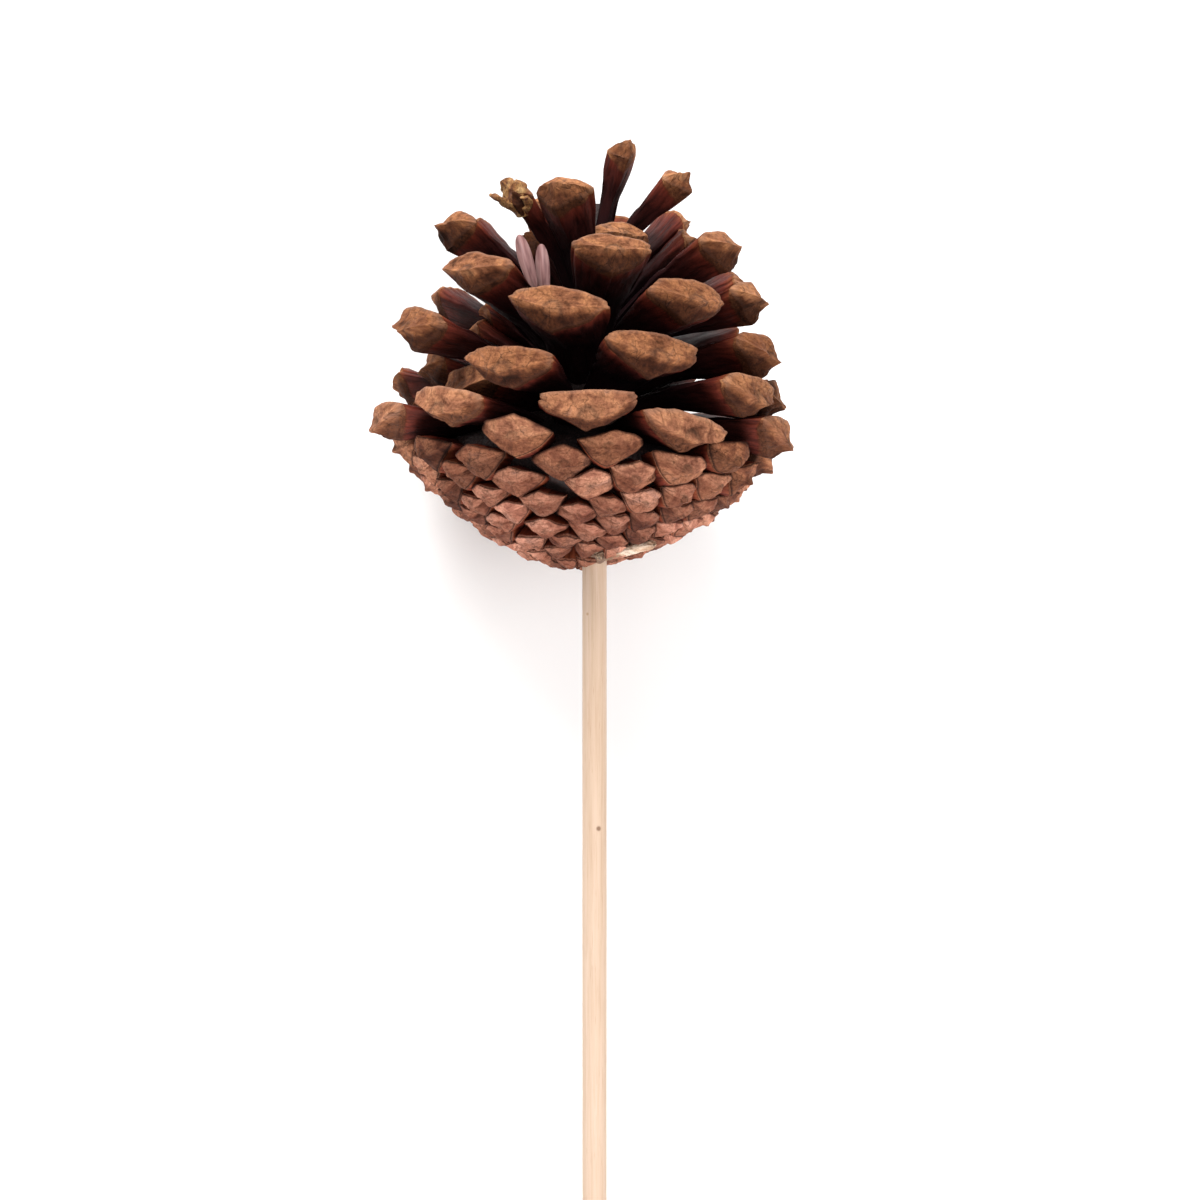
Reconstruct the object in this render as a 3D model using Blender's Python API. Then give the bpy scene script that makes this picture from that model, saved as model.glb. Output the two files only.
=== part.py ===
# Pine cone on a wooden stick, lying down as it rests on a table.
# The pick is modelled upright about the stick's axis, front towards -Y, and then laid down by an empty.

import math
import random

import bmesh
import bpy
import numpy as np
from mathutils import Matrix, Vector

MM = 0.001

# Cone, about its own axis: heights are above its lowest full row of scales
HALF_WIDTH = 34.6 * MM
WIDEST_AT = 23.0 * MM
BOWL_DEPTH = 26.0 * MM
CROWN_HEIGHT = 47.5 * MM
BOWL_POWER = 1.5
CROWN_POWER = 2.0
CROWN_ROUNDNESS = 0.72

# Spiral of scales
DIVERGENCE = 99.502
FIRST_TURN = 58.6
FIRST_SCALE = -16
LAST_SCALE = 155
OPEN_FROM = 98
FRAYED = 151
SEED = 11
WANDER_TURN = 1.6
WANDER_RISE = 0.35 * MM
WANDER_ROLL = 7.0
WANDER_SIZE = 0.05
# Scale number and its height, bottom to top: crowded in the shut bowl, sparse in the open crown
ROWS = (
    (-17, -2.9 * MM), (0, 0.0), (21, 2.8 * MM), (43, 5.7 * MM), (61, 8.2 * MM), (79, 11.5 * MM),
    (90, 14.3 * MM), (97, 16.4 * MM), (105, 19.0 * MM), (111, 22.8 * MM), (116, 26.4 * MM),
    (124, 33.1 * MM), (130, 38.4 * MM), (137, 45.6 * MM), (144, 54.0 * MM), (152, 60.3 * MM),
    (155, 65.5 * MM),
)
# Height, full width and full height of a scale's face
FACE_SIZE = (
    (-3 * MM, 5.5 * MM, 4.4 * MM), (0, 7.2 * MM, 4.7 * MM), (5.7 * MM, 9.2 * MM, 5.1 * MM),
    (8.6 * MM, 10.6 * MM, 5.6 * MM), (12 * MM, 12.8 * MM, 6.1 * MM), (16 * MM, 15.2 * MM, 6.8 * MM),
    (18.5 * MM, 17.0 * MM, 7.3 * MM), (21 * MM, 17.8 * MM, 7.6 * MM), (25 * MM, 16.6 * MM, 7.7 * MM),
    (37 * MM, 16.6 * MM, 7.8 * MM), (47 * MM, 13.4 * MM, 7.6 * MM), (58 * MM, 10.0 * MM, 7.2 * MM),
    (66 * MM, 5.0 * MM, 5.2 * MM),
)
# Height, and the slope of the way a scale's face looks, in degrees above level
FACE_SLOPE = (
    (-3 * MM, -85), (0, -66), (6 * MM, -53), (12 * MM, -40), (18 * MM, -29), (24 * MM, -17),
    (40 * MM, 2), (60 * MM, 32), (66 * MM, 62),
)
# Scales that the spiral skips, where its rows slip past each other
SKIPPED = (10, 50, 68, 93, 97)
# Scales that grew away from the rule: turn in degrees, rise, share of the reach
STRAYS = {
    21: (-5, -0.8 * MM, 1.0), 39: (7, 0.0, 1.0), 57: (6, 0.3 * MM, 1.0), 75: (0, 0.2 * MM, 1.0),
    79: (-2, -0.4 * MM, 1.0), 83: (2, 0.0, 1.0), 86: (4, 1.5 * MM, 1.0), 90: (-3, -0.6 * MM, 1.0),
    94: (6, -0.3 * MM, 1.0), 100: (-3, -1.3 * MM, 1.1), 101: (5, -0.5 * MM, 1.0),
    104: (-12, -0.9 * MM, 1.0), 105: (8, 0.5 * MM, 1.06), 107: (-20, 0.0, 0.85), 108: (-3, -2.5 * MM, 1.0),
    109: (10, -1.0 * MM, 0.9), 111: (0, 0.0, 0.7), 112: (13, 1.7 * MM, 1.0), 115: (-4, -1.3 * MM, 1.0),
    116: (0, 0.0, 0.95), 118: (-6, -1.0 * MM, 0.78), 119: (1, 0.0, 1.0), 122: (-19, -0.3 * MM, 1.02),
    123: (8, 0.3 * MM, 1.0), 125: (-10, 0.0, 0.62), 126: (-7, 0.0, 1.0), 127: (5, 0.0, 0.88),
    129: (-60, 0.0, 0.62), 130: (0, 0.4 * MM, 1.0), 133: (-13, -0.6 * MM, 1.04), 134: (0, 0.3 * MM, 0.975),
    136: (-20, 0.0, 0.7), 137: (-6, -0.1 * MM, 1.0), 138: (0, 0.0, 0.92), 140: (-13, 0.3 * MM, 1.09),
    141: (11, -0.2 * MM, 1.03), 144: (-7, 2.9 * MM, 1.0), 145: (18, -1.5 * MM, 0.72),
    147: (-30, -5.0 * MM, 0.5), 148: (0, -6.0 * MM, 0.5), 149: (0, -1.0 * MM, 0.85),
    150: (0, -3.0 * MM, 0.45), 151: (-12, -3.4 * MM, 0.88), 152: (0, 2.6 * MM, 1.05),
    153: (0, -6.0 * MM, 0.6), 154: (0, -7.0 * MM, 0.6), 155: (22, 1.9 * MM, 1.0),
}

# Forms of one scale, as shares of its face
SHUT_SIDES = 6
OPEN_SIDES = 8
FACE_BULGE = 0.28
FACE_SWEEP = 0.10
SHUT_ABOVE = 0.48
OPEN_ABOVE = 0.33
OPEN_TIP_DROP = 0.20
SHARPNESS = 1.35
SHUT_DEPTH = 9.0 * MM
SHUT_TAPER = 0.62
NECK_BACK = 3.2 * MM
NECK_SHARE = 0.80
NECK_WIDTH = 0.97
SHANK_HALF = 1.25 * MM
SHANK_MIDDLE = 0.5
SHANK_MIDDLE_WIDTH = 0.62
SHANK_MIDDLE_SWELL = 1.1
SHANK_ROOT_HALF_WIDTH = 2.0 * MM
SHANK_SAG = 0.05
LEAST_HALF_WIDTH = 1.2 * MM
FRAYED_SIDES = 5
FRAYED_BACK = 4.0 * MM
# Torn strands: lean to the side, lean up, length past the tip
FRAYED_STRANDS = ((-0.6, 0.2, 2.4 * MM), (-0.1, 0.4, 2.6 * MM), (0.4, 0.05, 1.6 * MM), (-0.3, -0.4, 2.4 * MM))
FRAYED_FACE = 0.55
# Share of a strand's length and its half width there; strands are flatter than wide
FRAYED_TAPER = ((0.0, 1.3 * MM), (0.6, 1.1 * MM), (1.0, 0.6 * MM))
FRAYED_FLATNESS = 0.6
FRAYED_SPREAD = 2.0 * MM

# Core: height and radius up its profile, a shallow bowl below and the stalk of the crown above
CORE = (
    (-0.2 * MM, 3.0 * MM), (2.0 * MM, 8.5 * MM), (5.0 * MM, 14.0 * MM), (9.0 * MM, 19.5 * MM),
    (13.0 * MM, 23.0 * MM), (16.5 * MM, 23.0 * MM), (19.0 * MM, 13.0 * MM), (24.0 * MM, 8.0 * MM),
    (33.0 * MM, 5.4 * MM), (44.0 * MM, 3.8 * MM), (54.0 * MM, 2.4 * MM), (58.0 * MM, 1.0 * MM),
)
CORE_SIDES = 14
ROOT_RADIUS = 0.8 * MM
ROOT_HEIGHT = 9.0 * MM
ROOT_CLIMB = 0.46
ROOT_STEEPENS_AT = 45.0 * MM
ROOT_STEEPENING = 20.0

# Cone on the stick: it leans to the right and back, and the stick enters beside its lowest point
CONE_LEAN = 5.5
CONE_BACK = 5.0
CONE_OFFSET = Vector((-4.3 * MM, 1.5 * MM, 0.6 * MM))

# Stick, its hole and what holds it
STICK_RADIUS = 2.0 * MM
STICK_LENGTH = 250.0 * MM
STICK_IN_CONE = 25.0 * MM
STICK_POINT = 3.0 * MM
STICK_POINT_RADIUS = 1.0 * MM
GAP = 0.3 * MM
GLUE_RADIUS = 3.3 * MM
GLUE_TOP = 0.6 * MM
GLUE_FOOT = -0.9 * MM
GLUE_SLOPE = 0.8 * MM
GLUE_FOOT_WALL = 0.8 * MM
# Distance out from the stick's axis, height, half width and half thickness along the splinter
SPLINTER = (
    (GLUE_RADIUS + GAP, -0.1 * MM, 1.2 * MM, 0.7 * MM), (6.6 * MM, 0.7 * MM, 1.4 * MM, 0.85 * MM),
    (9.6 * MM, 1.5 * MM, 1.2 * MM, 0.85 * MM), (11.8 * MM, 1.8 * MM, 0.7 * MM, 0.6 * MM),
)
SPLINTER_TURN = -36
SPLINTER_SIDES = 6
ROUND_SIDES = 32

# Seed wings: length, width and thickness, and where each stands: place, lean left, turn
WING_SIZE = (10.0 * MM, 3.4 * MM, 0.6 * MM)
WING_SIDES = 14
WING_FOOT_SHARE = 0.6
WINGS = {
    "seed_wing_a": (Vector((-10.8 * MM, -11.4 * MM, 47.0 * MM)), 16, 10),
    "seed_wing_b": (Vector((-8.4 * MM, -8.8 * MM, 45.5 * MM)), 4, -20),
}

# Rest on the table: the stick rises towards the cone, and the pick rolls until two scale tips touch
REST_PITCH = 8.2
REST_ROLL = -12.6
REST_PLACE = Vector((2.13 * MM, 77.94 * MM, 33.5 * MM))
TABLE_SIZE = 0.6


def share_at(value, points, column=1):
    """Reads a short curve of points at a value."""
    return float(np.interp(value, [p[0] for p in points], [p[column] for p in points]))


def surface_radius(height):
    if height < WIDEST_AT:
        depth = min(1.0, (WIDEST_AT - height) / BOWL_DEPTH)
        return HALF_WIDTH * (1 - depth ** BOWL_POWER) ** (1 / BOWL_POWER)
    climb = min(0.999, (height - WIDEST_AT) / CROWN_HEIGHT)
    return HALF_WIDTH * (1 - climb ** CROWN_POWER) ** CROWN_ROUNDNESS


def root_height(height):
    steep = max(0.0, height - ROOT_STEEPENS_AT)
    return ROOT_HEIGHT + ROOT_CLIMB * height + ROOT_STEEPENING * steep * steep


def place_scales():
    """One dictionary for each scale of the spiral, with its frames and sizes."""
    draw = random.Random(SEED)
    scales = []
    for index in range(FIRST_SCALE, LAST_SCALE + 1):
        if index in SKIPPED:
            continue
        turn, rise, reach = STRAYS.get(index, (0, 0.0, 1.0))
        angle = math.radians(FIRST_TURN + DIVERGENCE * index + turn + draw.uniform(-1, 1) * WANDER_TURN)
        height = share_at(index, ROWS) + rise + draw.uniform(-1, 1) * WANDER_RISE
        roll = math.radians(draw.uniform(-1, 1) * WANDER_ROLL)
        size = draw.uniform(1 - WANDER_SIZE, 1 + WANDER_SIZE) * (FRAYED_FACE if index == FRAYED else 1)
        out = Vector((math.sin(angle), -math.cos(angle), 0))
        level = Vector((math.cos(angle), math.sin(angle), 0))
        tip = out * surface_radius(height) * reach + Vector((0, 0, height))
        root = out * ROOT_RADIUS + Vector((0, 0, root_height(height)))
        shank = (tip - root).normalized()
        side = Matrix.Rotation(roll, 3, shank) @ level
        slope = math.radians(share_at(height, FACE_SLOPE))
        face = (out * math.cos(slope) + Vector((0, 0, math.sin(slope)))).normalized()
        scales.append({
            "index": index, "is_open": index >= OPEN_FROM, "tip": tip, "root": root,
            "shank": shank, "lift": shank.cross(side), "side": side, "face": face,
            "rise": face.cross(side), "width": share_at(height, FACE_SIZE, 1) * size,
            "height": share_at(height, FACE_SIZE, 2) * size,
        })
    return scales


def section(centre, side, rise, half_width, above, below, sides, sweep=None):
    """Points of one lens-shaped section, its corners to the left and right."""
    points = []
    for step in range(sides):
        angle = 2 * math.pi * step / sides
        across = math.copysign(abs(math.cos(angle)) ** (2 / SHARPNESS), math.cos(angle))
        upward = math.copysign(abs(math.sin(angle)) ** (2 / SHARPNESS), math.sin(angle))
        point = centre + side * across * half_width + rise * upward * (above if upward > 0 else below)
        if sweep is not None:
            point = point - sweep * across * across
        points.append(point)
    return points


def scale_sections(scale):
    half_width = scale["width"] / 2
    above = scale["height"] * (OPEN_ABOVE if scale["is_open"] else SHUT_ABOVE)
    below = scale["height"] - above
    drop = scale["height"] * (OPEN_TIP_DROP if scale["is_open"] else 0)
    rim_centre = scale["tip"] - scale["face"] * scale["height"] * FACE_BULGE + scale["rise"] * drop
    sweep = scale["face"] * scale["width"] * FACE_SWEEP
    sides = OPEN_SIDES if scale["is_open"] else SHUT_SIDES
    rim = section(rim_centre, scale["side"], scale["rise"], half_width, above, below, sides, sweep)
    if not scale["is_open"]:
        back = rim_centre - scale["shank"] * SHUT_DEPTH
        inner = section(
            back, scale["side"], scale["lift"], half_width * SHUT_TAPER,
            above * SHUT_TAPER, below * SHUT_TAPER, sides,
        )
        return [inner, rim]
    root_half = min(SHANK_ROOT_HALF_WIDTH, half_width * SHUT_TAPER)
    root = section(scale["root"], scale["side"], scale["lift"], root_half, SHANK_HALF, SHANK_HALF, sides)
    span = rim_centre - scale["root"]
    middle_centre = scale["root"] + span * SHANK_MIDDLE + scale["lift"] * span.length * SHANK_SAG
    middle_half = SHANK_HALF * SHANK_MIDDLE_SWELL
    middle_half_width = max(LEAST_HALF_WIDTH, half_width * SHANK_MIDDLE_WIDTH)
    middle = section(middle_centre, scale["side"], scale["lift"], middle_half_width, middle_half, middle_half, sides)
    neck_centre = rim_centre - scale["shank"] * NECK_BACK
    neck = section(
        neck_centre, scale["side"], (scale["lift"] + scale["rise"]).normalized(),
        half_width * NECK_WIDTH, above * NECK_SHARE, below * NECK_SHARE, sides, sweep,
    )
    return [root, middle, neck, rim]


def loft(sections, tip=None):
    """A closed body through rings of points, its last ring drawn up to a tip where one is given."""
    shape = bmesh.new()
    sides = len(sections[0])
    last = len(sections) - 1
    bmesh.ops.create_cone(shape, cap_ends=True, segments=sides, radius1=1, radius2=1, depth=1)
    upright = [edge for edge in shape.edges if abs(edge.verts[0].co.z - edge.verts[1].co.z) > 0.5]
    if last > 1:
        bmesh.ops.subdivide_edges(shape, edges=upright, cuts=last - 1, use_grid_fill=True)
    shape.verts.ensure_lookup_table()
    start = math.atan2(shape.verts[0].co.y, shape.verts[0].co.x)
    top = []
    for vert in shape.verts:
        level = round((vert.co.z + 0.5) * last)
        step = round((math.atan2(vert.co.y, vert.co.x) - start) * sides / (2 * math.pi)) % sides
        if level == last:
            top.append(vert)
        vert.co = sections[level][step]
    if tip is not None:
        cap = next(face for face in shape.faces if all(vert in top for vert in face.verts))
        bmesh.ops.poke(shape, faces=[cap])["verts"][0].co = tip
    bmesh.ops.recalc_face_normals(shape, faces=shape.faces)
    if shape.calc_volume(signed=True) < 0:
        bmesh.ops.reverse_faces(shape, faces=shape.faces)
    return shape


def lathe(points, sides):
    """A turned body: rings of a radius at a height."""
    rings = []
    for height, radius in points:
        steps = [2 * math.pi * step / sides for step in range(sides)]
        rings.append([Vector((math.cos(a) * radius, math.sin(a) * radius, height)) for a in steps])
    return loft(rings)


def wood_material(name, colour, roughness):
    material = bpy.data.materials.new(name)
    material.use_nodes = True
    shader = material.node_tree.nodes["Principled BSDF"]
    shader.inputs["Base Color"].default_value = (*colour, 1)
    shader.inputs["Roughness"].default_value = roughness
    shader.inputs["Metallic"].default_value = 0
    return material


def add_object(name, shape, parent, material=None):
    mesh = bpy.data.meshes.new(name)
    shape.to_mesh(mesh)
    shape.free()
    thing = bpy.data.objects.new(name, mesh)
    bpy.context.collection.objects.link(thing)
    thing.parent = parent
    if material is not None:
        mesh.materials.append(material)
    return thing


def add_cutter(name, shape, parent):
    cutter = add_object(name, shape, parent)
    cutter.hide_render = True
    cutter.display_type = "WIRE"
    return cutter


def cut(thing, cutter, solver="EXACT"):
    modifier = thing.modifiers.new(cutter.name, "BOOLEAN")
    modifier.operation = "DIFFERENCE"
    modifier.solver = solver
    modifier.object = cutter


def keep_largest(mesh):
    """Drops loose scraps and the skins of sealed hollows, which fills them."""
    shape = bmesh.new()
    shape.from_mesh(mesh)
    left = set(shape.verts)
    groups = []
    while left:
        group = set()
        edge_of_group = [left.pop()]
        while edge_of_group:
            vert = edge_of_group.pop()
            group.add(vert)
            for edge in vert.link_edges:
                other = edge.other_vert(vert)
                if other in left:
                    left.remove(other)
                    edge_of_group.append(other)
        groups.append(group)
    largest = max(groups, key=len)
    loose = [vert for vert in shape.verts if vert not in largest]
    bmesh.ops.delete(shape, geom=loose, context="VERTS")
    shape.to_mesh(mesh)
    shape.free()


def apply_modifiers(thing):
    """Keeps the evaluated shape, without loose scraps and sealed hollows."""
    graph = bpy.context.evaluated_depsgraph_get()
    graph.update()
    made = bpy.data.meshes.new_from_object(thing.evaluated_get(graph))
    thing.modifiers.clear()
    keep_largest(made)
    thing.data = made


def build_cone(parent):
    """The core and every scale, joined in one union."""
    cone = add_object("cone", lathe(CORE, CORE_SIDES), parent, wood_material("cone scales", (0.25, 0.11, 0.045), 0.7))
    repeats = bpy.data.collections.new("scales")
    bpy.context.scene.collection.children.link(repeats)
    shapes = []
    for scale in place_scales():
        shapes.append(loft(scale_sections(scale), scale["tip"]))
        if scale["index"] == FRAYED:
            shapes.extend(frayed_shapes(scale))
    for shape in shapes:
        mesh = bpy.data.meshes.new("scale")
        shape.to_mesh(mesh)
        shape.free()
        repeats.objects.link(bpy.data.objects.new("scale", mesh))
    union = cone.modifiers.new("union", "BOOLEAN")
    union.operation = "UNION"
    union.solver = "EXACT"
    union.operand_type = "COLLECTION"
    union.collection = repeats
    apply_modifiers(cone)
    for piece in list(repeats.objects):
        bpy.data.objects.remove(piece)
    bpy.data.collections.remove(repeats)
    return cone


def laid_down():
    """Lays the upright pick on its back, stick towards -Y, resting on two scale tips and the stick's end."""
    down = Matrix.Rotation(math.radians(REST_PITCH - 90), 4, "X") @ Matrix.Rotation(math.radians(REST_ROLL), 4, "Z")
    return Matrix.Translation(REST_PLACE) @ down


def cone_to_stick():
    """Turns the cone's own frame into the stick's: it leans right and back, off the stick's axis."""
    lean = Matrix.Rotation(math.radians(CONE_LEAN), 4, "Y") @ Matrix.Rotation(math.radians(-CONE_BACK), 4, "X")
    return Matrix.Translation(CONE_OFFSET) @ lean


def build_stick(parent):
    pale_wood = wood_material("stick wood", (0.70, 0.52, 0.36), 0.6)
    foot = STICK_IN_CONE - STICK_LENGTH
    return add_object("stick", lathe((
        (foot, STICK_POINT_RADIUS), (foot + STICK_POINT, STICK_RADIUS), (STICK_IN_CONE, STICK_RADIUS),
    ), ROUND_SIDES), parent, pale_wood)


def glue_shape(gap=0.0, foot=GLUE_FOOT):
    """The bead round the stick, thin at its foot where it has run down the wood."""
    return lathe((
        (foot, STICK_RADIUS + GLUE_FOOT_WALL + gap), (GLUE_TOP - GLUE_SLOPE, GLUE_RADIUS + gap),
        (GLUE_TOP + gap, GLUE_RADIUS + gap),
    ), ROUND_SIDES)


def splinter_shape(gap=0.0):
    """A sliver of the stick's wood, standing out sideways and tapering."""
    turn = Matrix.Rotation(math.radians(SPLINTER_TURN), 3, "Z")
    sections = []
    for number, (out, height, half_width, half_thickness) in enumerate(SPLINTER):
        if number == 0:
            out = out - gap
        if number == len(SPLINTER) - 1:
            out = out + gap
        centre = turn @ Vector((out, 0, height))
        sections.append(section(
            centre, turn @ Vector((0, 1, 0)), Vector((0, 0, 1)),
            half_width + gap, half_thickness + gap, half_thickness + gap, SPLINTER_SIDES,
        ))
    return loft(sections)


def wing_shape(length, width, thickness):
    """A papery leaf, straight on one side and rounded on the other."""
    shape = bmesh.new()
    bmesh.ops.create_circle(shape, segments=WING_SIDES, cap_ends=True, radius=0.5)
    for vert in shape.verts:
        along = vert.co.y + 0.5
        broadening = WING_FOOT_SHARE + (1 - WING_FOOT_SHARE) * along
        vert.co = Vector((vert.co.x * width * broadening, 0, vert.co.y * length))
    grown = bmesh.ops.extrude_face_region(shape, geom=list(shape.faces))["geom"]
    lifted = [item for item in grown if isinstance(item, bmesh.types.BMVert)]
    bmesh.ops.translate(shape, verts=lifted, vec=Vector((0, thickness, 0)))
    bmesh.ops.recalc_face_normals(shape, faces=shape.faces)
    return shape


def frayed_shapes(scale):
    """Torn strands that stand out of the broken scale's tip."""
    shapes = []
    for across, upward, length in FRAYED_STRANDS:
        way = (scale["shank"] + scale["side"] * across + scale["lift"] * upward).normalized()
        start = scale["tip"] - scale["shank"] * FRAYED_BACK + scale["side"] * across * FRAYED_SPREAD
        rings = []
        for along, half in FRAYED_TAPER:
            thin = half * FRAYED_FLATNESS
            centre = start + way * (FRAYED_BACK + length) * along
            rings.append(section(centre, scale["side"], scale["lift"], half, thin, thin, FRAYED_SIDES))
        shapes.append(loft(rings))
    return shapes


def main():
    for thing in list(bpy.data.objects):
        bpy.data.objects.remove(thing)
    pick = bpy.data.objects.new("pick", None)
    bpy.context.collection.objects.link(pick)
    cone = build_cone(pick)
    pick.matrix_world = laid_down()
    cone.matrix_local = cone_to_stick()
    stick = build_stick(pick)
    glue = add_object("glue", glue_shape(), pick, wood_material("hot glue", (0.45, 0.40, 0.33), 0.35))
    add_object("splinter", splinter_shape(), pick, wood_material("splinter wood", (0.80, 0.70, 0.52), 0.6))
    papery = wood_material("seed wing", (0.42, 0.22, 0.20), 0.6)
    for name, (place, lean, turn) in WINGS.items():
        wing = add_object(name, wing_shape(*WING_SIZE), pick, papery)
        wing.matrix_local = (
            Matrix.Translation(place) @ Matrix.Rotation(math.radians(-lean), 4, "Y")
            @ Matrix.Rotation(math.radians(turn), 4, "Z")
        )
    hole = add_cutter("stick hole", lathe((
        (GLUE_FOOT - STICK_IN_CONE, STICK_RADIUS + GAP), (STICK_IN_CONE + GAP, STICK_RADIUS + GAP),
    ), ROUND_SIDES), pick)
    table = bmesh.new()
    bmesh.ops.create_cube(table, size=TABLE_SIZE)
    bmesh.ops.translate(table, verts=table.verts, vec=Vector((0, 0, -TABLE_SIZE / 2)))
    table_cut = add_cutter("table cut", table, None)
    glue_seat = add_cutter("glue seat", glue_shape(GAP, GLUE_FOOT - STICK_IN_CONE), pick)
    splinter_seat = add_cutter("splinter seat", splinter_shape(GAP), pick)
    for cutter in (hole, glue_seat, splinter_seat, table_cut):
        cut(cone, cutter, "MANIFOLD")
    apply_modifiers(cone)
    cut(glue, hole)
    cut(stick, table_cut)


main()
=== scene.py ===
import bmesh
import bpy
import math
import random
import numpy as np
from mathutils import Matrix, Vector, noise


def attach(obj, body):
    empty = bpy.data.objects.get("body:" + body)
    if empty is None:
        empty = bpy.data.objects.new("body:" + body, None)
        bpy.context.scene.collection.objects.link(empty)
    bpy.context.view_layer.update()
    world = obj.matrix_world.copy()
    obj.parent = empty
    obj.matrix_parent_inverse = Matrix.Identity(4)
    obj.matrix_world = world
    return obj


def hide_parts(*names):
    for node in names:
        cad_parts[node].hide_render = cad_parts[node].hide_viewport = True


# Pine cone on a wooden stick, lying on a pale table. Lengths are in metres; mm turns millimetres into them.
mm = 0.001

# the noise that moves points in three directions starts from the clock unless it is seeded
noise.seed_set(7)

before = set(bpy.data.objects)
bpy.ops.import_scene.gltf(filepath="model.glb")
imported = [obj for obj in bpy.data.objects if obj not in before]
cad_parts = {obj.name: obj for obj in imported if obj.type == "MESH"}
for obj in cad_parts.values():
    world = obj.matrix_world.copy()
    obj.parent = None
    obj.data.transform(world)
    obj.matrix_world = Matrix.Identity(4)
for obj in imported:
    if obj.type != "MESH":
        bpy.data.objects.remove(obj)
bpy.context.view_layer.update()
print("frame loaded:", ", ".join(sorted(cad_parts)))

# How the upright pick is laid on the table, and how the cone sits on the stick: the same as the solids
lay = {
    "pitch": 8.2, "roll": -12.6, "place": (2.13, 77.94, 33.5),
    "coneLean": 5.5, "coneBack": 5.0, "coneOffset": (-4.3, 1.5, 0.6),
}
layMatrix = (
    Matrix.Translation(Vector(lay["place"]) * mm)
    @ Matrix.Rotation(math.radians(lay["pitch"] - 90), 4, "X")
    @ Matrix.Rotation(math.radians(lay["roll"]), 4, "Z")
)
coneMatrix = (
    layMatrix @ Matrix.Translation(Vector(lay["coneOffset"]) * mm)
    @ Matrix.Rotation(math.radians(lay["coneLean"]), 4, "Y")
    @ Matrix.Rotation(math.radians(-lay["coneBack"]), 4, "X")
)


# Materials
def toLinear(hexColour):
    parts = [int(hexColour[at:at + 2], 16) / 255 for at in (1, 3, 5)]
    return [p / 12.92 if p <= 0.04045 else ((p + 0.055) / 1.055) ** 2.4 for p in parts] + [1.0]


def feedNode(tree, node, inputs):
    # an input is a value, or a socket to link from
    for socket, value in inputs.items():
        if isinstance(value, bpy.types.NodeSocket):
            tree.links.new(value, node.inputs[socket])
        else:
            node.inputs[socket].default_value = value


def addNode(tree, kind, settings=None, inputs=None):
    # adds one node; "stops" fills a colour ramp
    node = tree.nodes.new("ShaderNode" + kind)
    for name, value in (settings or {}).items():
        if name == "stops":
            while len(node.color_ramp.elements) < len(value):
                node.color_ramp.elements.new(0.5)
            for element, (place, colour) in zip(node.color_ramp.elements, value):
                element.position = place
                element.color = toLinear(colour)
        else:
            setattr(node, name, value)
    feedNode(tree, node, inputs or {})
    return node


def newMaterial(name):
    material = bpy.data.materials.new(name)
    material.use_nodes = True
    return material, material.node_tree


def finishSurface(tree, look, inputs, relief):
    # feeds the surface its colour and gloss, and raises it by the relief
    bump = addNode(tree, "Bump", None, {
        "Strength": look["bumpStrength"], "Distance": look["bumpHeight"] * mm, "Height": relief,
    }).outputs["Normal"]
    feedNode(tree, tree.nodes["Principled BSDF"], {**inputs, "Normal": bump})


def layTones(tree, colour, layers):
    # lays tones over a colour one by one: how each is mixed in, its share and the tone
    for blend, share, tone in layers:
        colour = addNode(tree, "Mix", {"data_type": "RGBA", "blend_type": blend}, {
            "Factor": share, 6: colour, 7: tone,
        }).outputs[2]
    return colour


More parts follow.
